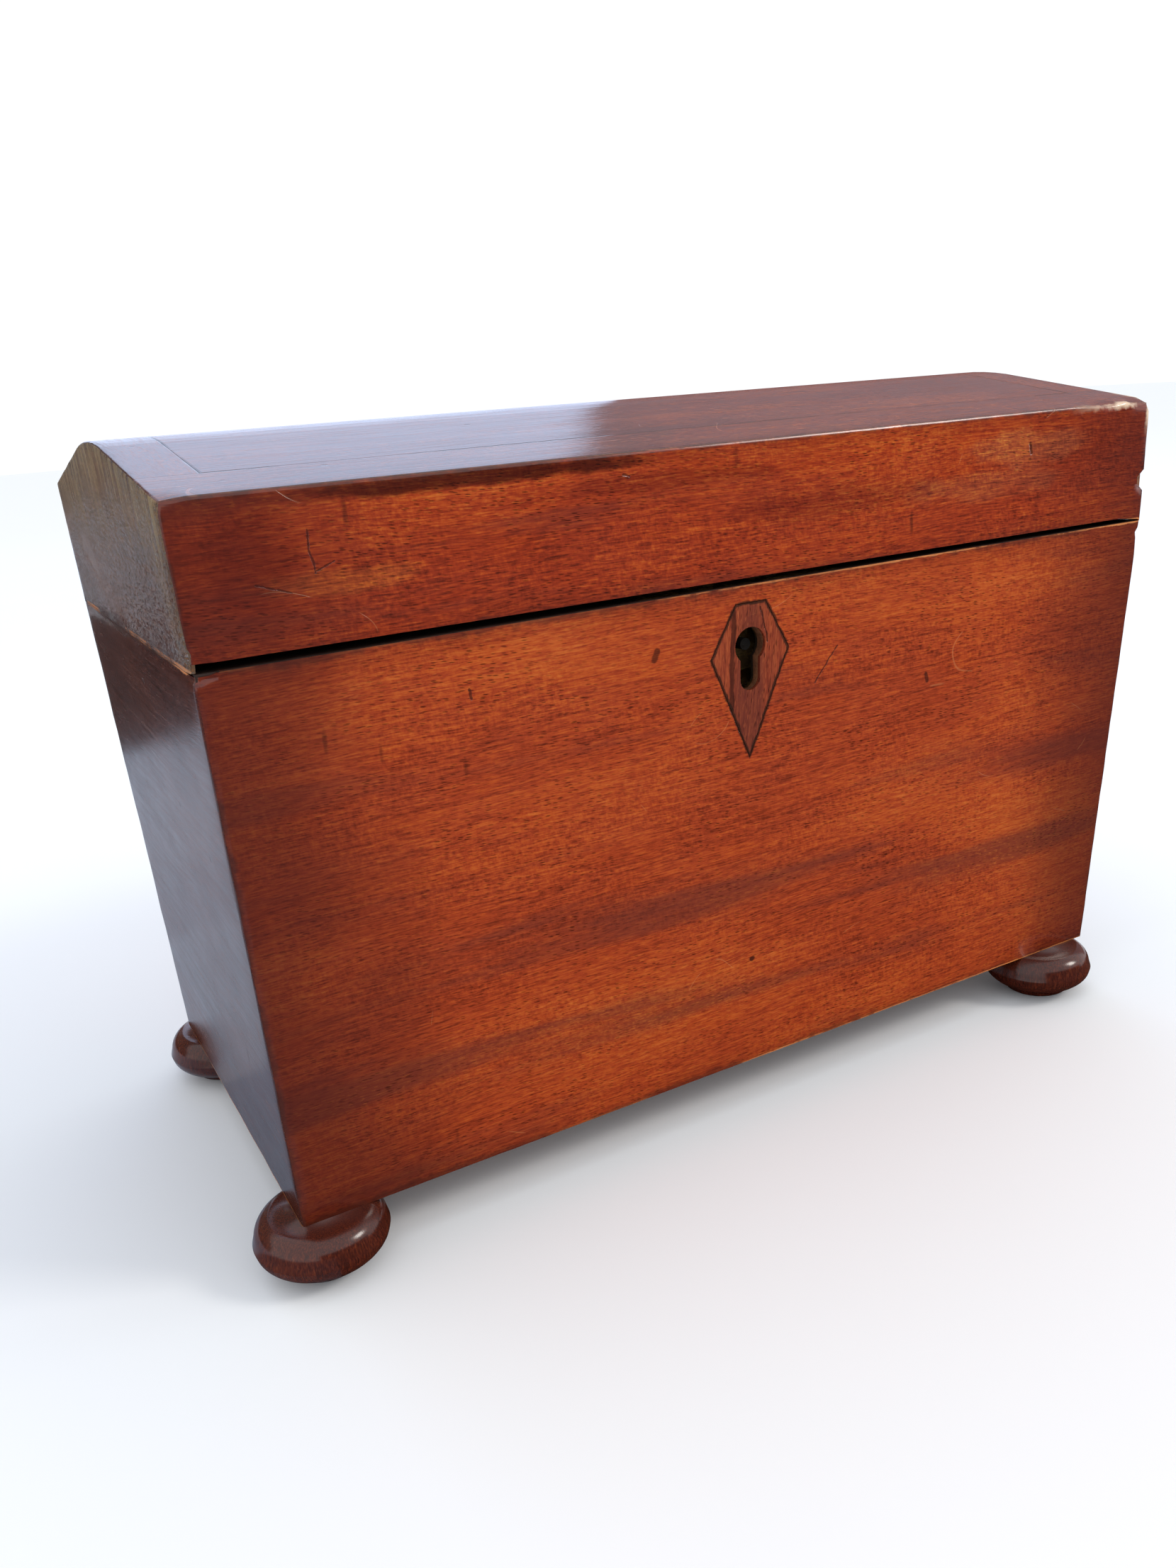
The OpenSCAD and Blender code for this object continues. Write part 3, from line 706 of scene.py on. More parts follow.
    def glue_line(self, graph: Graph) -> None:
        """Darkens the joint round the inlay, at the front only.

        Args:
            graph: The surface.
        """
        line = self.kite.distance(graph) + graph.wobble(graph.here, 2.0, 2.0) * 0.9
        joint = abs(line).ease(0.55, 0.2) * graph.split(graph.here)[1].ease(1.0, -1.0)
        graph.tint(joint * 0.85, GLUE)
        graph.height = graph.height - joint * 0.5

    def edges(self, graph: Graph) -> None:
        """Adds painted shade and grime beside the arrises and pale wear on them.

        Args:
            graph: The surface.
        """
        shell, here = self.shell, graph.here
        deep_x, deep_y, deep_top, deep_low = shell.gaps(graph)
        edge = (deep_x + deep_y).least(deep_x + deep_top).least(deep_y + deep_top)
        edge = edge.least(deep_low + deep_x.least(deep_y))
        wide = graph.wobble(here, 30.0, 2.0)
        tight = graph.wobble(here, 3.2, 3.0, 0.6)
        # Painted shade: darker within a few millimetres of the arrises.
        shade = (edge + wide * 7.0).ease(5.0, 0.0)
        graph.tint(shade * 0.25, SHADE)
        # Painted shade towards the ends of a long side.
        if self.dark_ends:
            graph.tint((deep_x + wide * 30.0).ease(44.0, 2.0) * self.dark_ends, END_SHADE)
        grime = (edge + tight * 3.0 + wide * 3.0).ease(1.3, 0.3)
        graph.tint(grime * 0.5, GRIME)
        # Painted shade: the rim's top in the gap under the lid is painted near black.
        if not shell.rise:
            rim = deep_top.ease(0.16, 0.05) * deep_x.least(deep_y).ease(0.1, 0.3)
            graph.tint(rim * 0.92, RIM_GAP_SHADE)
            graph.rough = graph.rough + rim * 0.6
        x, y, z = graph.split(here)
        bare = (edge + tight * 0.9).ease(0.55, 0.22) * (wide * 2.4 + tight * 1.2 + 0.52).ease(0.3, 0.75)
        worn = bare * 0.8
        if self.wear_from:
            worn = worn * (x.ease(*self.wear_from) * 0.88 + 0.12)
        graph.tint(worn, WORN_WOOD)
        front, top = shell.sides[2], shell.high_z
        # Chipped wear and painted highlight: the arris turns broad and pale towards the right.
        if self.pale_wear_and_highlight_from:
            broad = (edge + tight * 2.6).ease(2.0, 0.8) * x.ease(*self.pale_wear_and_highlight_from)
            broad = broad * z.ease(top - 9.0, top - 2.0) * y.ease(front + 16.0, front + 4.0)
            graph.tint(broad * 0.85, PALE_WEAR_AND_HIGHLIGHT)
        if self.bared_corner:
            rubbed = graph.noise(here, (9.0, 2.2, 22.0), 4.0, 0.7).ease(0.3, 0.68)
            upper = (z + wide * 16.0).ease(top - 18.0, top + 7.0)
            bared = (y - front + wide * 16.0 + tight * 2.0).ease(15.0, 2.0)
            bared = (bared * (upper * 0.6 + 0.4) * (rubbed * 0.85 + 0.15)).most(upper * rubbed * 0.7)
            bared = bared * x.ease(1.0, -1.0)
            graph.tint(bared * self.bared_corner, RUBBED_WOOD)
            graph.rough = graph.rough + bared * 0.16
        graph.rough = graph.rough + worn * 0.22 + grime * 0.05


@dataclass(frozen=True)
class PlainWood:
    """Unpolished or thinly oiled timber of the carcass.

    Attributes:
        name: The material's name.
        grain: Which way the grain runs.
        stain_and_shade_z: The height of the meeting face, which is stained and grimy and darkened as painted
            shade of the gap under the lid.
        dark: The colour of the late wood.
        pale: The colour of the early wood.
        gloss: The roughness.
    """

    name: str
    grain: Grain
    stain_and_shade_z: float
    dark: Colour = (0.105, 0.034, 0.014)
    pale: Colour = (0.205, 0.078, 0.03)
    gloss: float = 0.62

    def build(self) -> Material:
        """Makes the material."""
        graph = Graph(self.name)
        along = graph.place(self.grain)
        lines = graph.waved(along, graph.wobble(along, (80.0, 25.0, 25.0), 2.0) * 9.0)
        rings = graph.noise(lines, (70.0, 2.6, 2.6), 3.0, 0.6)
        fibre = graph.noise(lines, (9.0, 0.35, 0.35), 2.0)
        stain = graph.noise(along, (26.0, 20.0, 20.0), 3.0).ease(0.48, 0.72)
        graph.colour = graph.mix((rings + (fibre - 0.5) * 0.6).ease(0.33, 0.67), self.dark, self.pale)
        graph.tint(stain * 0.45, dimmed(self.dark, 0.35))
        # Stain and painted shade: the meeting face in the gap under the lid is darkened.
        met = (abs(graph.split(graph.here)[2] - self.stain_and_shade_z) + (stain - 0.5) * 1.2).ease(3.4, 1.6)
        graph.tint(met * 0.9, STAIN_AND_GAP_SHADE)
        graph.height = fibre * 0.5 + rings * 0.4
        graph.rough = fibre * 0.2 + (self.gloss - 0.1)
        return graph.finish(0.12)


@dataclass(frozen=True)
class OldMetal:
    """Handled metal with tarnish, brushing and small scratches.

    Attributes:
        name: The material's name.
        bright: The colour where it is rubbed.
        dull: The colour of the tarnish.
        tarnish: How much tarnish there is, from 0 to 1.
        gloss: The roughness where it is rubbed.
        crumple: The relief of crumpled foil in millimetres, or 0.
    """

    name: str
    bright: Colour
    dull: Colour
    tarnish: float
    gloss: float
    crumple: float = 0.0

    def build(self) -> Material:
        """Makes the material."""
        graph = Graph(self.name)
        cloud = graph.noise(graph.here, 5.0, 4.0, 0.6)
        brushed = graph.noise(graph.here, (6.0, 0.25, 0.25), 2.0)
        film = (cloud + (brushed - 0.5) * 0.3).ease(0.62 - 0.34 * self.tarnish, 0.78 - 0.3 * self.tarnish)
        graph.colour = graph.mix(film, self.bright, self.dull)
        graph.rough = film * 0.3 + brushed * 0.14 + self.gloss
        if self.crumple:
            fold, _ = graph.cells(graph.here, (9.0, 9.0, 12.0))
            crease, _ = graph.cells(graph.here, (3.6, 3.6, 4.2))
            graph.height = fold + crease * 0.45 + cloud * 0.15
        else:
            pit, _ = graph.cells(graph.here, 1.1)
            graph.height = brushed * 0.25 + cloud * 0.4 + pit.ease(0.2, 0.0) * -0.3
        return graph.finish(self.crumple or 0.04, {"Metallic": film * -0.45 + 1.0})


@dataclass(frozen=True)
class Ebonised:
    """Turned wood stained black and polished, rubbed brown where fingers hold it."""

    name: str = "ebonised_wood"

    def build(self) -> Material:
        """Makes the material."""
        graph = Graph(self.name)
        along = graph.place(Grain.ALONG_Z)
        rubbed = graph.noise(along, (5.0, 3.0, 3.0), 3.0).ease(0.5, 0.72)
        graph.height = graph.noise(along, (4.0, 0.3, 0.3), 2.0)
        graph.colour = graph.mix(rubbed * 0.6, (0.01, 0.008, 0.007), (0.06, 0.024, 0.012))
        graph.rough = graph.height * 0.12 + rubbed * 0.12 + 0.16
        return graph.finish(0.03)


@dataclass(frozen=True)
class Card:
    """A pale or dark sheet of the studio, with the faint mottle of paper.

    Attributes:
        name: The material's name.
        colour: The sheet's colour.
    """

    name: str
    colour: Colour

    def build(self) -> Material:
        """Makes the material."""
        graph = Graph(self.name)
        mottle = graph.noise(graph.here, 60.0, 3.0)
        graph.colour = graph.mix(mottle * 0.12, self.colour, dimmed(self.colour, 0.9))
        graph.rough = 0.9
        return graph.finish(None, {"Specular IOR Level": 0.1})


# ---------------------------------------------------------------- mesh helpers


def cut_plane(bm: Mesh, point: Vector, normal: Vector, parts: list | None = None, **more: bool) -> None:
    """Cuts a mesh by a plane.

    Args:
        bm: The mesh.
        point: A point of the plane.
        normal: The plane's direction.
        parts: The faces, edges and corners to cut, or None for all.
        more: Other settings of the cut.
    """
    parts = bm.verts[:] + bm.edges[:] + bm.faces[:] if parts is None else parts
    bmesh.ops.bisect_plane(bm, geom=parts, dist=1e-5, plane_co=point, plane_no=normal, **more)


def slices(bm: Mesh, axis: int, places: list[float]) -> None:
    """Cuts a mesh by planes square to an axis.

    Args:
        bm: The mesh.
        axis: 0, 1 or 2 for x, y or z.
        places: Where the planes lie.
    """
    normal = Vector((0.0, 0.0, 0.0))
    normal[axis] = 1.0
    for place in places:
        cut_plane(bm, normal * place, normal)


def steps(low: float, high: float, size: float) -> list[float]:
    """Returns evenly spaced places between two ends, the ends left out."""
    count = max(1, round((high - low) / size))
    return [low + (high - low) * index / count for index in range(1, count)]


def drop_faces(bm: Mesh, unwanted: Callable, context: str = "FACES") -> None:
    """Deletes the faces that a test picks."""
    picked = [face for face in bm.faces if unwanted(face)]
    bmesh.ops.delete(bm, geom=picked, context=context)


def round_edges(bm: Mesh, edges: list, width: float) -> None:
    """Rounds edges with a quarter round."""
    bmesh.ops.bevel(
        bm, geom=edges, offset=width, offset_type="OFFSET", segments=4, profile=0.5,
        affect="EDGES", clamp_overlap=True, material=-1)


def mark_ends(bm: Mesh) -> None:
    """Gives the faces of the ends the second finish."""
    for face in bm.faces:
        face.material_index = 1 if abs(face.normal.x) > abs(face.normal.y) else 0


@dataclass(frozen=True)
class Chip:
    """A small bruise or bite out of an arris.

    Attributes:
        at: Its middle.
        reach: Its size along each axis.
        push: How far the surface is pushed in there.
    """

    at: Colour
    reach: Colour
    push: Colour


def wear_edges(bm: Mesh, shell: Shell, chips: list[Chip], depth: float) -> None:
    """Makes the long arrises a little uneven, never standing out from the shell.

    Args:
        bm: The mesh, in millimetres.
        shell: The shell that the arrises belong to.
        chips: The larger bruises.
        depth: How deep the unevenness goes.
    """
    near, side_near = 1.4, 1.0
    for vert in bm.verts:
        co = vert.co.copy()
        half = shell.half_at(co.z)
        off_x, off_y = co.x - shell.mid[0], co.y - shell.mid[1]
        gap_x, gap_y = half[0] - abs(off_x), half[1] - abs(off_y)
        top = shell.high_z + shell.rise * gap_y if shell.rise else shell.high_z
        gaps = sorted([abs(gap_x), abs(gap_y), abs(top - co.z), abs(co.z - shell.low_z)])
        if gaps[0] + gaps[1] < near:
            amount = depth * (0.5 + 0.5 * noise.noise(co * 0.16)) + 0.5 * depth * abs(noise.noise(co * 0.9))
            vert.co += amount * Vector((-math.copysign(1.0, off_x) if gap_x < side_near else 0.0,
                                        -math.copysign(1.0, off_y) if gap_y < side_near else 0.0,
                                        0.0))
        for chip in chips:
            away = Vector([(co[axis] - chip.at[axis]) / chip.reach[axis] for axis in range(3)]).length
            away += 0.35 * noise.noise(co * 0.8)
            if away < 1.0:
                vert.co += Vector(chip.push) * (1.0 - away ** 3)


def new_object(name: str, bm: Mesh) -> bpy.types.Object:
    """Puts a mesh into the scene.

    Args:
        name: The object's name.
        bm: Its mesh in metres, which is freed.

    Returns:
        The object.
    """
    mesh = bpy.data.meshes.new(name)
    bm.to_mesh(mesh)
    bm.free()
    made = bpy.data.objects.new(name, mesh)
    bpy.context.scene.collection.objects.link(made)
    return made


def finish_piece(
    name: str,
    bm: Mesh,
    body: str,
    finishes: list[Material],
    replaced: list[str],
    smooth: bool = True,
) -> bpy.types.Object:
    """Turns a mesh in millimetres into a piece, parents it to its body and hides the nodes it stands for.

    Args:
        name: The piece's name.
        bm: Its mesh, which is freed.
        body: The body it moves with.
        finishes: Its materials, in the order of the faces' numbers.
        replaced: The nodes that it stands for.
        smooth: Whether its faces are shaded smoothly.

    Returns:
        The piece.
    """
    bmesh.ops.scale(bm, vec=(MM, MM, MM), verts=bm.verts[:])
    for face in bm.faces:
        face.smooth = smooth
    piece = new_object(name, bm)
    for finish in finishes:
        piece.data.materials.append(finish)
    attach(piece, body)
    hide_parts(*replaced)
    LOG.info("%s: %d faces, moves with %s", name, len(piece.data.polygons), body)
    return piece


def modify(piece: bpy.types.Object, name: str, kind: str, **settings: object) -> None:
    """Adds a modifier with those settings to a piece."""
    made = piece.modifiers.new(name, kind)
    for key, value in settings.items():
        setattr(made, key, value)


def add_thickness(piece: bpy.types.Object, leaf: float, width: float) -> None:
    """Gives a sheet its thickness inwards and softens its cut edges.

    Args:
        piece: The sheet.
        leaf: The thickness in millimetres.
        width: The width of the softening in millimetres.
    """
    modify(piece, "leaf", "SOLIDIFY", thickness=leaf * MM, offset=-1.0, use_even_offset=True)
    modify(piece, "softened", "BEVEL", width=width * MM, segments=2, limit_method="ANGLE",
           angle_limit=math.radians(50.0))
    modify(piece, "flat_shading", "WEIGHTED_NORMAL", keep_sharp=True, weight=60)


# ---------------------------------------------------------------- the case


@dataclass
class Case:
    """The veneer round the case, with the hole for the inlay.

    Attributes:
        leaf: The veneer's thickness.
        corner: The rounding of the upright corners.
        glue_gap: The gap round the inlay.
    """

    leaf: float = 0.8
    corner: float = 0.9
    glue_gap: float = 0.14

    shell: Shell = field(init=False)
    kite: Kite = field(init=False)

    def __post_init__(self) -> None:
        """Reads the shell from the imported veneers."""
        left_low, _ = span("left_veneer")
        right_low, right_high = span("right_veneer")
        front_low, front_high = span("front_veneer")
        _, back_high = span("back_veneer")
        mid = ((left_low.x + right_high.x) / 2, (front_low.y + back_high.y) / 2)
        half = ((right_high.x - left_low.x) / 2, (back_high.y - front_low.y) / 2)
        height = front_high.z - front_low.z
        lean_x = (half[0] - (right_low.x + self.leaf - mid[0])) / height
        lean_y = (half[1] - (mid[1] - front_high.y + self.leaf)) / height
        self.shell = Shell(mid, half, (lean_x, lean_y), front_high.z, front_low.z, front_high.z)
        self.kite = Kite(middle(*span("escutcheon"))[0], front_high.z)

    def finishes(self) -> list[Material]:
        """Returns the finishes of the long sides and of the ends, whose darker tones are painted shade."""
        scars = (Scar((15.8, 101.0), (21.6, 108.2), 0.22), Scar((-25.0, 112.6), (-24.4, 114.2), 0.85),
                 Scar((47.8, 97.4), (48.2, 95.6), 0.6), Scar((-65.0, 113.6), (-64.6, 111.8), 0.32),
                 Scar((-6.3, 99.2), (-3.5, 93.0), 0.5))
        long_side = Mahogany(
            "case_front_mahogany", Grain.ALONG_X, (40.0, 0.0, 12.0), shell=self.shell, kite=self.kite,
            dark_ends=0.72, wear_from=(-70.0, 30.0), scars=scars)
        # The ends are a darker copy of the mahogany: painted shade.
        end = Mahogany(
            "case_end_mahogany_painted_shade", Grain.ALONG_Y, (300.0, 60.0, 0.0),
            ((0.022, 0.005, 0.0035), (0.06, 0.011, 0.006), (0.095, 0.02, 0.0085), (0.17, 0.05, 0.018)),
            shell=self.shell, smoke=0.7, open_pores=0.35, gloss=0.24, relief=1.8)
        return [long_side.build(), end.build()]

    def build(self) -> None:
        """Makes the veneer of the four sides as one skin with worn corners."""
        shell = self.shell
        left, right, front, back = shell.sides
        bm = shell.block(shell.low_z, shell.high_z)
        drop_faces(bm, lambda face: abs(face.normal.z) > 0.9, "FACES_ONLY")
        upright = [edge for edge in bm.edges if abs(edge.verts[0].co.z - edge.verts[1].co.z) > 50.0]
        round_edges(bm, upright, self.corner)
        fine = [left + 1.2 * index for index in range(1, 8)]
        slices(bm, 0, fine + steps(fine[-1], right, 3.6))
        slices(bm, 1, steps(front, back, 4.0))
        heights = [shell.high_z - drop for drop in (0.3, 0.8, 1.6, 2.8, 4.2)]
        heights += steps(shell.low_z + 1.0, heights[-1], 4.0)
        slices(bm, 2, heights + [shell.low_z + 0.4, shell.low_z + 1.0])
        self.cut_kite(bm)
        chips = [
            Chip((left, front, shell.high_z), (5.0, 4.0, 1.9), (0.6, 0.7, -0.5)),
            Chip((left + 2.0, front, shell.high_z - 9.0), (2.0, 2.0, 3.0), (0.3, 0.3, 0.0)),
            Chip((right, front, shell.high_z - 3.0), (2.0, 3.0, 1.5), (-0.4, 0.3, 0.0)),
        ]
        wear_edges(bm, shell, chips, 0.16)
        mark_ends(bm)
        nodes = ["front_veneer", "back_veneer", "left_veneer", "right_veneer"]
        piece = finish_piece("case_veneer", bm, "case", self.finishes(), nodes)
        add_thickness(piece, self.leaf - 0.02, 0.18)

    def cut_kite(self, bm: Mesh) -> None:
        """Cuts the inlay's hole out of the front.

        Args:
            bm: The skin, in millimetres.
        """
        kite = self.kite
        reach_x, low, high = kite.wide[0] + 4.0, kite.rim_z - kite.point - 4.0, kite.rim_z - kite.top[1] + 1.0

        def near(face: bmesh.types.BMFace) -> bool:
            """Tells whether a face lies at the front near the inlay."""
            mid = face.calc_center_median()
            return face.normal.y < -0.9 and abs(mid.x - kite.mid_x) < reach_x and low < mid.z < high

        def inside(face: bmesh.types.BMFace) -> bool:
            """Tells whether a face lies at the front inside the outline."""
            mid = face.calc_center_median()
            return face.normal.y < -0.9 and all((mid - point).dot(normal) < 0.0 for point, normal in planes)

        planes = []
        for out, offset in kite.sides():
            for side in ((1.0, -1.0) if out.x > 1e-6 else (1.0,)):
                normal = Vector((side * out.x, 0.0, -out.y))
                point = Vector((kite.mid_x, 0.0, kite.rim_z)) + normal * (offset + self.glue_gap)
                planes.append((point, normal))
        for point, normal in planes:
            faces = [face for face in bm.faces if near(face)]
            edges = {edge for face in faces for edge in face.edges}
            verts = {vert for face in faces for vert in face.verts}
            cut_plane(bm, point, normal, faces + list(edges) + list(verts))
        drop_faces(bm, inside)


# ---------------------------------------------------------------- the lid


@dataclass
class Lid:
    """The lid's veneer: four sides, the roof's panel and its four bands.

    Attributes:
        leaf: The veneer's thickness.
        arris: The rounding of the arrises.
        gap_left: The front's gap to the case at the left.
        gap_right: The same gap at the right.
        packed_gap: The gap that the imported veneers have.
        end_drop: How far the end veneers reach down into that gap.
        fade_h: The height over which the front's lower part is drawn up.
        steep: The upright part of a face's direction above which it belongs to the roof.
        pitch: The roof's slope in degrees.
    """

    leaf: float = 0.8
    arris: float = 0.7
    gap_left: float = 1.7
    gap_right: float = 1.2
    packed_gap: float = 0.5
    end_drop: float = 0.44
    fade_h: float = 8.0
    steep: float = 0.7
    pitch: float = 10.0

    shell: Shell = field(init=False)
    panel: tuple[Vector, Vector] = field(init=False)

    def __post_init__(self) -> None:
        """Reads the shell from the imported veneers."""
        left_low, _ = span("lid_left_veneer")
        right_low, right_high = span("lid_right_veneer")
        front_low, _ = span("lid_front_veneer")
        _, back_high = span("lid_back_veneer")
        band_low, _ = span("top_front_band")
        self.panel = span("top_panel")
        slope = math.radians(self.pitch)
        mid = ((left_low.x + right_high.x) / 2, (front_low.y + back_high.y) / 2)
        half = (right_low.x + self.leaf - mid[0], (back_high.y - front_low.y) / 2)
        lean = ((right_high.x - mid[0]) - half[0]) / (right_high.z - right_low.z)
        eaves = band_low.z + self.leaf / math.cos(slope)
        self.shell = Shell(
            mid, half, (lean, 0.0), right_low.z, right_low.z, eaves, math.tan(slope), self.panel[1].z)

    def blank(self) -> Mesh:
        """Makes the lid's outer form with its rounded ridge and arrises.

        Returns:
            The form, open below.
        """
        shell = self.shell
        bm = shell.block(shell.low_z, shell.crest_z + 8.0)
        slope = math.atan(shell.rise)
        centre = Vector((0.0, shell.mid[1], shell.crest_z - shell.ridge_r))
        planes = []
        for side in (-1.0, 1.0):
            point = Vector((0.0, shell.mid[1] + side * shell.half[1], shell.high_z))
            planes.append((point, Vector((0.0, side * math.sin(slope), math.cos(slope)))))
        for degrees in (-7.5, -5.0, -2.5, 0.0, 2.5, 5.0, 7.5):
            turn = math.radians(degrees)
            normal = Vector((0.0, math.sin(turn), math.cos(turn)))
            planes.append((centre + normal * shell.ridge_r, normal))
        for point, normal in planes:
            cut_plane(bm, point, normal, clear_outer=True)
            bmesh.ops.contextual_create(bm, geom=[edge for edge in bm.edges if edge.is_boundary])
            bm.normal_update()
        arrises = []
        for edge in bm.edges:
            first, last = (vert.co.z for vert in edge.verts)
            outer = min(first, last) > shell.low_z + 1.0 or abs(first - last) > 10.0
            if outer and len(edge.link_faces) == 2 and edge.calc_face_angle() > math.radians(50.0):
                arrises.append(edge)
        round_edges(bm, arrises, self.arris)
        drop_faces(bm, lambda face: face.normal.z < -0.9, "FACES_ONLY")
        return bm

    def chips(self) -> list[Chip]:
        """Returns the bruises of the lid's corners."""
        left, right, front, _ = self.shell.sides
        top, foot = self.shell.high_z, self.shell.low_z
        return [
            Chip((right + 0.5, front, foot + 9.0), (2.6, 3.5, 2.4), (-1.2, 0.8, 0.0)),
            Chip((right + 0.9, front, top), (9.0, 3.0, 2.0), (-0.5, 0.5, -0.5)),
            Chip((right - 14.0, front, top), (6.0, 2.0, 1.4), (0.0, 0.4, -0.35)),
            Chip((left - 0.9, front, top), (4.0, 3.0, 1.8), (0.5, 0.4, -0.4)),
            Chip((left, front, foot + 1.2), (5.0, 3.0, 1.6), (0.5, 0.4, 0.4)),
        ]

    def skin(self) -> Mesh:
        """Makes the worn outside, cut along the banding's joints and finely along its arrises.

        Returns:
            The skin, in millimetres.
        """
        shell, (low, high) = self.shell, self.panel
        left, right, front, back = shell.sides
        bm = self.blank()
        slices(bm, 0, [low.x, high.x])
        slices(bm, 1, [low.y, high.y])
        left, right = left - 1.0, right + 1.0
        close = [right - 2.0 - 1.4 * index for index in range(8)]
        slices(bm, 0, steps(left + 2.0, close[-1], 3.6) + close + [left + 3.0, left + 5.0])
        slices(bm, 1, steps(front, back, 4.0))
        slices(bm, 2, steps(shell.low_z, shell.high_z - 1.0, 1.7))
        wear_edges(bm, shell, self.chips(), 0.15)
        return bm

    def build(self) -> None:
        """Makes the sides, the panel and the bands."""
        self.build_sides()
        finish = self.roof_finishes()
        parts = (
            ("lid_top_panel", "top_panel", "panel", "mahogany_veneer", "panel"),
            ("lid_front_band", "top_front_band", "front", "banding", "long"),
            ("lid_back_band", "top_back_band", "back", "banding", "long"),
            ("lid_left_band", "top_left_band", "left", "banding", "end"),
            ("lid_right_band", "top_right_band", "right", "banding", "end"),
        )
        whole = self.skin()
        drop_faces(whole, lambda face: face.normal.z < self.steep)
        for name, node, region, slot, kind in parts:
            bm = whole.copy()
            drop_faces(bm, lambda face: self.region(face.calc_center_median()) != region)
            piece = finish_piece(name, bm, "lid", [finish[kind]], [node])
            add_thickness(piece, self.leaf - 0.02, 0.09)
        whole.free()

    def region(self, point: Vector) -> str:
        """Returns the name of the roof's part that a point lies in."""
        low, high = self.panel
        if not low.y < point.y < high.y:
            return "front" if point.y < high.y else "back"
        if not low.x < point.x < high.x:
            return "left" if point.x < high.x else "right"
        return "panel"

    def roof_finishes(self) -> dict[str, Material]:
        """Makes the finishes of the long bands, the end bands and the panel.

        Returns:
            Each finish by its kind.
        """
        kinds = {
            "long": ("lid_band_mahogany", Grain.ALONG_X, (70.0, 20.0, 3.0)),
            "end": ("lid_end_band_mahogany", Grain.ALONG_Y, (10.0, 90.0, 0.0)),
            "panel": ("lid_panel_mahogany", Grain.ALONG_X, (-60.0, 15.0, 40.0)),
        }
        tones = ((0.04, 0.009, 0.005), (0.1, 0.018, 0.008), (0.15, 0.033, 0.012), (0.26, 0.085, 0.026))
        # Painted sheen: the right of the roof is lightened.
        sheen_and_tone_patches = (Patch((80.0, 155.0), (110.0, 60.0), (1.5, 1.2, 0.95), 0.9),)
        return {kind: Mahogany(
            *settings, tones, shell=self.shell, seam=self.panel, gloss=0.15, wear_from=(-80.0, 110.0),
            pale_wear_and_highlight_from=(88.0, 112.0), relief=3.5, contrast=1.7, sheen_and_tone_patches=sheen_and_tone_patches).build()
            for kind, settings in kinds.items()}

    def side_finishes(self) -> list[Material]:
        """Returns the finishes of the long sides and of the ends, whose darker tones are painted shade."""
        scars = (Scar((-91.6, 145.5), (-90.8, 138.4), 0.24), Scar((-90.6, 138.6), (-87.4, 139.9), 0.2),
                 Scar((-101.0, 137.6), (-95.2, 135.6), 0.18), Scar((77.0, 145.8), (77.7, 143.8), 0.5),
                 Scar((-30.0, 148.8), (-28.6, 148.4), 0.3))
        # Patches that lift green and blue are painted bluish reflections; the others darken the front's tone.
        sheen_and_tone_patches = (Patch((-87.0, 136.6), (17.0, 2.8), (1.4, 2.5, 2.0), 0.65),
                  Patch((78.0, 145.0), (22.0, 4.8), (1.15, 2.2, 3.0), 0.75),
                  Patch((64.0, 138.0), (26.0, 4.0), (1.00, 1.8, 2.6), 0.6),
                  Patch((-60.0, 151.2), (46.0, 1.9), (0.16, 0.15, 0.26), 0.9),
                  Patch((-101.0, 142.0), (9.0, 12.0), (0.62, 0.5, 0.6), 0.8),
                  Patch((20.0, 139.0), (32.0, 4.0), (0.62, 0.55, 0.75), 0.8),
                  Patch((-20.0, 147.0), (30.0, 2.2), (0.6, 0.52, 0.7), 0.8))
        long_side = Mahogany(
            "lid_front_mahogany", Grain.ALONG_X, (-150.0, 0.0, 66.0),
            ((0.11, 0.0125, 0.0045), (0.255, 0.026, 0.0068), (0.36, 0.049, 0.008), (0.54, 0.135, 0.017)),
            shell=self.shell, smoke=0.6, dark_ends=0.6, wear_from=(-80.0, 110.0), scars=scars,
            pale_wear_and_highlight_from=(88.0, 112.0), sheen_and_tone_patches=sheen_and_tone_patches)
        # The ends are a darker copy of the mahogany: painted shade.
        end = Mahogany(
            "lid_end_mahogany_painted_shade", Grain.ALONG_Y, (200.0, 10.0, 30.0),
            ((0.03, 0.006, 0.004), (0.07, 0.016, 0.009), (0.11, 0.03, 0.013), (0.22, 0.085, 0.035)),
            shell=self.shell, craze=1.0, gloss=0.2, bared_corner=0.85)
        return [long_side.build(), end.build()]

    def build_sides(self) -> None:
        """Makes the veneer of the lid's four sides."""
        shell = self.shell
        bm = self.skin()
        drop_faces(bm, lambda face: face.normal.z >= self.steep)
        front = shell.sides[2]
        for vert in bm.verts:
            above = vert.co.z - shell.low_z
            if vert.co.y < front + 0.9 and above < self.fade_h:
                share = (vert.co.x - shell.mid[0]) / (2 * shell.half[0]) + 0.5
                gap = self.gap_left + (self.gap_right - self.gap_left) * share - self.packed_gap
                gap *= min(1.0, max(0.0, (0.994 - share) / 0.03))
                vert.co.z += gap * (1.0 - above / self.fade_h)
            if abs(vert.co.x - shell.mid[0]) > shell.half[0] - 0.9 and vert.co.z < shell.low_z + 0.3:
                vert.co.z -= self.end_drop
        mark_ends(bm)
        nodes = ["lid_front_veneer", "lid_back_veneer", "lid_left_veneer", "lid_right_veneer"]
        piece = finish_piece("lid_veneer", bm, "lid", self.side_finishes(), nodes)
        add_thickness(piece, self.leaf - 0.02, 0.12)


# ---------------------------------------------------------------- turned work


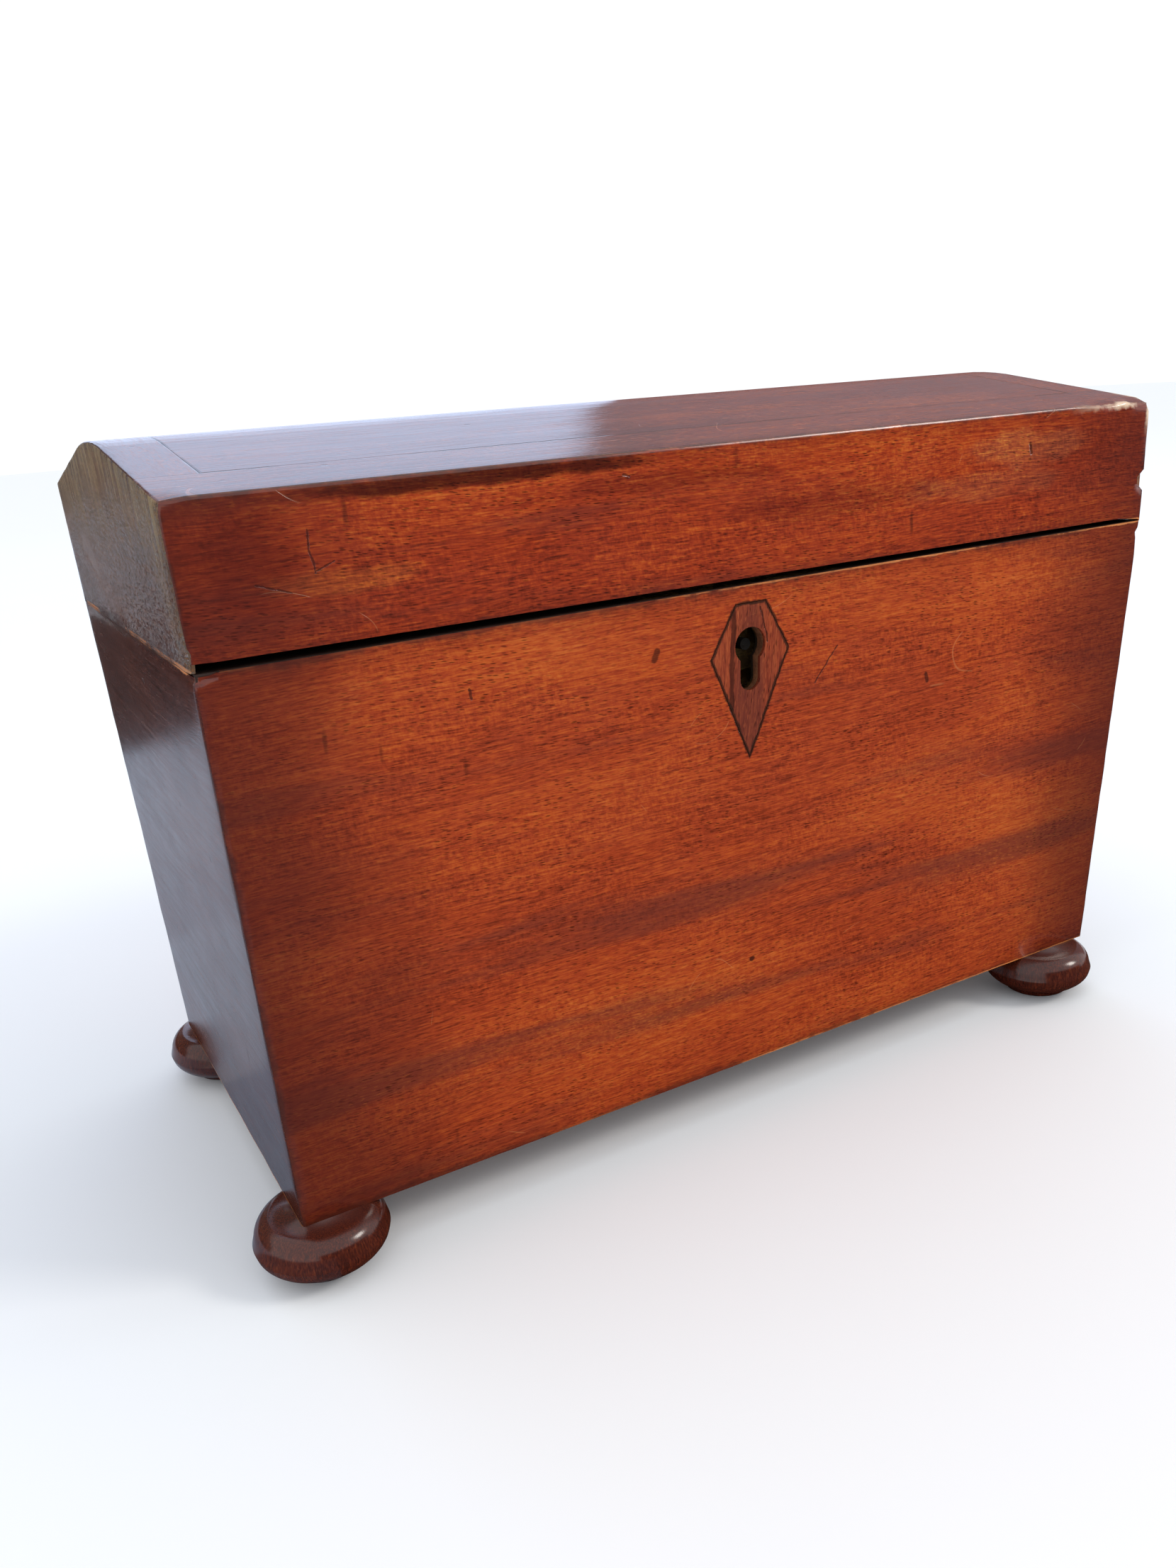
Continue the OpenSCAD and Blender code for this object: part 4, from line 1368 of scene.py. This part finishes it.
def turned(profile: list[Place], axis: Place, parts: int = 96) -> Mesh:
    """Turns a profile on the lathe.

    Args:
        profile: Radius and height from the top of the axis to its foot.
        axis: The axis in x and y.
        parts: How many steps the turn has.

    Returns:
        The closed form.
    """
    bm = bmesh.new()
    verts = [bm.verts.new((radius, 0.0, height)) for radius, height in profile]
    edges = [bm.edges.new(pair) for pair in zip(verts, verts[1:])]
    bmesh.ops.spin(
        bm, geom=verts + edges, cent=(0.0, 0.0, 0.0), axis=(0.0, 0.0, 1.0), angle=math.tau, steps=parts,
        use_merge=True, dvec=(0.0, 0.0, 0.0))
    bmesh.ops.remove_doubles(bm, verts=bm.verts[:], dist=1e-4)
    bmesh.ops.recalc_face_normals(bm, faces=bm.faces[:])
    bmesh.ops.translate(bm, vec=(axis[0], axis[1], 0.0), verts=bm.verts[:])
    return bm


@dataclass
class Feet:
    """Four turned feet, each a shallow dome over an arris, a tapering band and a small pad.

    Attributes:
        top_r: The radius under the case.
        wide_r: The radius at the arris.
        arris_z: The height of the arris.
        pad_r: The pad's radius.
        pad_h: The pad's height.
        spigot_r: The spigot's radius.
        spigot_h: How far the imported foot's spigot stands above the case's underside.
    """

    top_r: float = 9.9
    wide_r: float = 13.8
    arris_z: float = 6.7
    pad_r: float = 8.2
    pad_h: float = 1.6
    spigot_r: float = 2.4
    spigot_h: float = 5.0

    def profile(self, top_z: float) -> list[Place]:
        """Draws the foot's profile.

        Args:
            top_z: The height of the case's underside.

        Returns:
            Radius and height, from the spigot down to the pad.
        """
        tip_z = top_z + self.spigot_h - 0.1
        line = [(0.0, tip_z), (self.spigot_r, tip_z), (self.spigot_r, top_z + 0.02), (self.top_r, top_z)]
        for index in range(1, 9):
            share = index / 9
            radius = self.top_r + (self.wide_r - 0.35 - self.top_r) * math.sin(share * math.pi / 2)
            line.append((radius, self.arris_z + 0.5 + (top_z - self.arris_z - 0.5) * (1 - share ** 1.7)))
        line += [(self.wide_r - 0.08, self.arris_z + 0.28), (self.wide_r, self.arris_z - 0.05),
                 (self.wide_r - 0.1, self.arris_z - 0.5)]
        for index in range(1, 8):
            share = index / 8
            reach = self.wide_r - 1.3 - self.pad_r
            radius = self.pad_r + 1.1 + reach * math.cos(share * math.pi / 2) ** 0.75
            line.append((radius, self.pad_h + 0.15 + (self.arris_z - 0.7 - self.pad_h) * (1 - share)))
        line += [(self.pad_r + 0.9, self.pad_h + 0.05), (self.pad_r + 0.1, self.pad_h),
                 (self.pad_r, self.pad_h - 0.3), (self.pad_r - 0.1, 0.25)]
        return line + [(self.pad_r - 0.5, 0.0), (0.0, 0.0)]

    def build(self) -> None:
        """Makes the four feet."""
        finish = Mahogany(
            "turned_foot_mahogany", Grain.ALONG_Z, (0.0, 5.0, 9.0),
            ((0.018, 0.004, 0.0026), (0.052, 0.009, 0.0048), (0.105, 0.0185, 0.0066), (0.27, 0.075, 0.02)),
            smoke=0.5, figure=0.0, open_pores=0.35, knocks=0.5, gloss=0.19, contrast=0.75).build()
        for place in ("front_left", "front_right", "rear_left", "rear_right"):
            low, high = span(f"foot_{place}")
            bm = turned(self.profile(high.z - self.spigot_h), middle(low, high))
            finish_piece(f"turned_foot_{place}", bm, "case", [finish], [f"foot_{place}"])


@dataclass
class TeaLids:
    """The two tea lids, with a moulded edge and a turned knob each.

    Attributes:
        edge: The width of the moulded edge.
        drop: How far the moulded edge falls.
        peg_h: The height of the knob's peg.
        peg_r: The radius of the knob's peg.
    """

    edge: float = 1.6
    drop: float = 0.9
    peg_h: float = 5.0
    peg_r: float = 2.4

    def build(self) -> None:
        """Makes both lids and knobs."""
        wood = Mahogany(
            "tea_lid_mahogany", Grain.ALONG_X, (15.0, 80.0, 5.0),
            ((0.085, 0.018, 0.008), (0.2, 0.042, 0.014), (0.27, 0.066, 0.02), (0.4, 0.125, 0.035)),
            smoke=0.5, gloss=0.3).build()
        black = Ebonised().build()
        for hand in HANDS:
            body = f"{hand}_tea_lid"
            self.build_board(hand, body, wood)
            low, high = span(f"{hand}_tea_knob")
            bm = turned(self.knob_profile(high.z, low.z), middle(low, high), 64)
            finish_piece(f"{hand}_turned_knob", bm, body, [black], [f"{hand}_tea_knob"])

    def build_board(self, hand: str, body: str, finish: Material) -> None:
        """Makes one lid's board.

        Args:
            hand: Left or right.
            body: The body it moves with, named like the node it replaces.
            finish: Its material.
        """
        low, high = span(body)
        bm = bmesh.new()
        bmesh.ops.create_cube(bm, size=1.0)
        bmesh.ops.scale(bm, vec=high - low, verts=bm.verts[:])
        bmesh.ops.translate(bm, vec=(high + low) / 2, verts=bm.verts[:])
        upper = [face for face in bm.faces if face.normal.z > 0.9]
        bmesh.ops.inset_region(bm, faces=upper, thickness=self.edge, use_even_offset=True)
        slices(bm, 2, [high.z - self.drop])
        for vert in bm.verts:
            outer = any(abs(vert.co[axis] - end[axis]) < 0.1 for axis in range(2) for end in (low, high))
            if outer and abs(vert.co.z - high.z) < 1e-4:
                vert.co.z -= self.drop
        bmesh.ops.remove_doubles(bm, verts=bm.verts[:], dist=1e-3)
        piece = finish_piece(
            f"{hand}_moulded_tea_lid", bm, body, [finish], [f"{hand}_tea_lid"], smooth=False)
        modify(piece, "softened", "BEVEL", width=0.35 * MM, segments=3, limit_method="ANGLE")

    def knob_profile(self, top_z: float, low_z: float) -> list[Place]:
        """Draws a knob: a flattened ball on a neck over a small foot, with a peg below.

        Args:
            top_z: The knob's top.
            low_z: The peg's end.

        Returns:
            Radius and height from the top down.
        """
        base = low_z + self.peg_h
        height = top_z - base
        line = [(0.0, top_z)]
        for index in range(1, 12):
            turn = math.pi * index / 12.5
            line.append((5.6 * math.sin(turn), base + height * (0.69 + 0.31 * math.cos(turn))))
        for radius, share in ((2.4, 0.33), (2.2, 0.25), (2.6, 0.19), (5.2, 0.13), (6.2, 0.08)):
            line.append((radius, base + height * share))
        line += [(6.45, base + 0.3), (6.3, base + 0.01), (self.peg_r, base + 0.01)]
        return line + [(self.peg_r - 0.1, low_z + 0.1), (0.0, low_z + 0.1)]


# ---------------------------------------------------------------- kept parts


@dataclass
class KeptParts:
    """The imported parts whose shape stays, and the finish that each gets.

    Attributes:
        case: The case, for the inlay's outline and the height of its rim.
    """

    case: Case

    def finishes(self) -> dict[str, Material]:
        """Makes the finishes.

        Returns:
            Each finish by a short name.
        """
        kite, rim_z = self.case.kite, self.case.shell.high_z
        inlay = Mahogany(
            "inlay_mahogany", Grain.ALONG_Z, (8.0, 0.0, 55.0),
            ((0.06, 0.01, 0.005), (0.2, 0.03, 0.012), (0.29, 0.052, 0.017), (0.4, 0.095, 0.03)),
            kite=kite, smoke=0.6, figure=0.3, knocks=0.7,
            scars=(Scar((kite.mid_x - 4.4, 119.5), (kite.mid_x - 4.6, 99.0), 0.75),
                   Scar((kite.mid_x + 2.6, 119.6), (kite.mid_x + 4.2, 112.0), 0.25)))
        return {
            "inlay": inlay.build(),
            "long": PlainWood("carcass_long_grain", Grain.ALONG_X, rim_z).build(),
            "cross": PlainWood("carcass_cross_grain", Grain.ALONG_Y, rim_z).build(),
            "foil": OldMetal("tea_foil", (0.6, 0.6, 0.6), (0.26, 0.25, 0.24), 0.45, 0.34, 0.4).build(),
            "brass": OldMetal("old_brass", (0.62, 0.4, 0.14), (0.12, 0.068, 0.026), 0.6, 0.27).build(),
            "lock": OldMetal("lock_brass", (0.14, 0.088, 0.034), (0.026, 0.016, 0.009), 0.8, 0.42).build(),
            "steel": OldMetal("old_steel", (0.024, 0.02, 0.017), (0.008, 0.006, 0.005), 0.8, 0.6).build(),
        }

    def dress(self) -> None:
        """Gives every kept part its finish."""
        made = self.finishes()
        fillets = [f"{hand}_{side}_fillet" for hand in HANDS for side in ("front", "back")]
        leaves = [f"{hand}_hinge_{side}_leaf" for side in ("case", "lid") for hand in HANDS]
        groups = {
            "inlay": ["escutcheon"],
            "long": ["bottom_board", "front_panel", "back_panel", "lid_front_rail", "lid_back_rail",
                     "lid_top_board", *fillets],
            "cross": ["left_end", "right_end", "partition", "lid_left_end", "lid_right_end"],
            "foil": [f"{hand}_foil_lining" for hand in HANDS],
            "brass": [*leaves, "case_hinge_screws", "lid_hinge_screws", "link_screws", "lock_screws",
                      "lock_plate"],
            "lock": ["lock_case", "link_plate", "lock_bolt"],
            "steel": ["left_hinge_pin", "right_hinge_pin", "lock_drill_pin", "lock_spring"],
        }
        for finish, names in groups.items():
            for name in names:
                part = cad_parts[name]
                part.data.materials.clear()
                part.data.materials.append(made[finish])
                LOG.info("%s keeps its shape, finished as %s", name, finish)


# ---------------------------------------------------------------- studio


@dataclass(frozen=True)
class SoftBox:
    """A soft light aimed at the caddy.

    Attributes:
        name: The light's name.
        place: Where it stands, in metres.
        aim: What it points at, in metres.
        size: Its width and height, in metres.
        power: Its power in watts.
        colour: Its colour.
    """

    name: str
    place: Colour
    aim: Colour
    size: Place
    power: float
    colour: Colour

    def build(self) -> None:
        """Makes the light."""
        light = bpy.data.lights.new(self.name, "AREA")
        light.shape = "RECTANGLE"
        light.size, light.size_y = self.size
        light.energy = self.power
        light.color = self.colour
        lamp = bpy.data.objects.new(self.name, light)
        lamp.location = self.place
        lamp.rotation_euler = (Vector(self.aim) - Vector(self.place)).to_track_quat("-Z", "Y").to_euler()
        lamp.visible_camera = False
        bpy.context.scene.collection.objects.link(lamp)


@dataclass(frozen=True)
class Flag:
    """A card that only reflections see, to shape the shine of the polish.

    Attributes:
        name: The card's name.
        start: One end of its lower edge in x and y, in metres.
        end: The other end, or the opposite corner of a card that lies flat.
        heights: The lowest and highest height of an upright card, or None for one that lies flat.
        colour: Its colour.
    """

    name: str
    start: Place
    end: Place
    heights: Place | None
    colour: Colour = (0.03, 0.024, 0.022)

    def corners(self) -> list[Colour]:
        """Returns the four corners in metres."""
        (x, y), (end_x, end_y) = self.start, self.end
        if self.heights is None:
            return [(x, y, 0.0), (end_x, y, 0.0), (end_x, end_y, 0.0), (x, end_y, 0.0)]
        low, high = self.heights
        return [(x, y, low), (end_x, end_y, low), (end_x, end_y, high), (x, y, high)]

    def build(self) -> None:
        """Makes the card."""
        bm = bmesh.new()
        bm.faces.new([bm.verts.new(corner) for corner in self.corners()])
        card = new_object(self.name, bm)
        card.data.materials.append(Card(f"{self.name}_card", self.colour).build())
        card.visible_camera = False
        card.visible_diffuse = False
        card.visible_shadow = False
        card.visible_transmission = False


@dataclass(frozen=True)
class Studio:
    """The floor, the lights, the cards and the camera.

    Attributes:
        floor_half: Half the floor's side, in metres.
        floor_z: The floor's height, in metres, just clear of the feet.
        eye: The camera's place, in metres.
        yaw: The camera's turn about the upright axis.
        pitch: How far it looks down.
        roll: How far it leans.
        lens: Its focal length in millimetres for a 36 mm long side.
        sky_colour: The colour of the surroundings.
        sky_strength: Their brightness.
    """

    floor_half: float = 6.0
    floor_z: float = -0.0002
    eye: Colour = (-0.15162, -0.26497, 0.16378)
    yaw: float = -0.4884
    pitch: float = 0.3034
    roll: float = -0.0744
    lens: float = 28.59
    sky_colour: Colour = (0.95, 0.975, 1.0)
    sky_strength: float = 1.1

    def camera(self) -> None:
        """Makes the camera."""
        rows = (Matrix.Rotation(self.roll, 3, "Z") @ Matrix.Rotation(self.pitch + math.pi / 2, 3, "X")
                @ Matrix.Rotation(-self.yaw, 3, "Z"))
        axes = Matrix((rows[0], -rows[1], -rows[2])).transposed()
        data = bpy.data.cameras.new("camera")
        data.sensor_width = 36.0
        data.lens = self.lens
        data.clip_start = 0.01
        data.clip_end = 50.0
        camera = bpy.data.objects.new("camera", data)
        camera.matrix_world = Matrix.Translation(self.eye) @ axes.to_4x4()
        bpy.context.scene.collection.objects.link(camera)
        bpy.context.scene.camera = camera

    def floor(self) -> None:
        """Makes the pale floor."""
        bm = bmesh.new()
        bmesh.ops.create_grid(bm, x_segments=4, y_segments=4, size=self.floor_half)
        plane = new_object("floor", bm)
        plane.location.z = self.floor_z
        plane.data.materials.append(Card("pale_floor", (0.89, 0.905, 0.93)).build())

    def sky(self) -> None:
        """Gives the surroundings a soft even light."""
        world = bpy.data.worlds.new("studio")
        bpy.context.scene.world = world
        world.use_nodes = True
        back = world.node_tree.nodes["Background"]
        back.inputs["Color"].default_value = rgba(self.sky_colour)
        back.inputs["Strength"].default_value = self.sky_strength

    def lights(self) -> None:
        """Sets the soft boxes and the cards."""
        kit = (
            SoftBox("key", (1.5, -1.15, 1.35), (0.0, 0.0, 0.08), (0.55, 0.55), 16.0, (1.0, 0.95, 0.88)),
            SoftBox("rim", (0.2, 1.55, 0.95), (0.0, 0.0, 0.15), (1.65, 1.5), 4.8, (0.06, 0.34, 1.0)),
            Flag("front_floor", (-0.9, -2.0), (2.6, -0.035), None),
            Flag("front_wall", (-0.9, -1.9), (3.4, -1.9), (0.0, 0.75)),
            Flag("right_back", (0.8, 1.35), (3.2, 0.3), (0.0, 0.45), (0.26, 0.135, 0.125)),
            Flag("right_high", (0.8, 1.35), (3.2, 0.3), (0.45, 1.6), (0.33, 0.26, 0.28)),
            Flag("left_back", (-1.6, 0.44), (-0.12, 0.4), (0.0, 0.075)),
            Flag("left_high", (-1.6, 0.45), (-0.12, 0.41), (0.075, 0.5), (0.135, 0.125, 0.11)),
            Flag("left_patch", (-0.179, 0.404), (-0.15, 0.404), (0.076, 0.121), (0.36, 0.41, 0.5)),
            Flag("left_strip", (-0.196, 0.404), (-0.186, 0.404), (0.066, 0.128), (0.62, 0.52, 0.33)),
            Flag("left_near", (-1.8, -0.35), (-0.104, 0.035), None, (0.34, 0.44, 0.56)),
            Flag("left_middle", (-1.8, 0.035), (-0.104, 0.14), None, (0.5, 0.58, 0.68)),
            Flag("left_far", (-1.8, 0.14), (-0.104, 0.44), None, (0.45, 0.51, 0.6)),
        )
        for item in kit:
            item.build()

    def build(self) -> None:
        """Sets up the studio."""
        bpy.context.scene.view_settings.view_transform = "Standard"
        self.camera()
        self.floor()
        self.sky()
        self.lights()


def main() -> None:
    """Builds the caddy and its studio."""
    logging.basicConfig(level=logging.INFO, format="%(message)s")
    Studio().build()
    case = Case()
    case.build()
    Lid().build()
    Feet().build()
    TeaLids().build()
    KeptParts(case).dress()


if __name__ == "__main__":
    main()
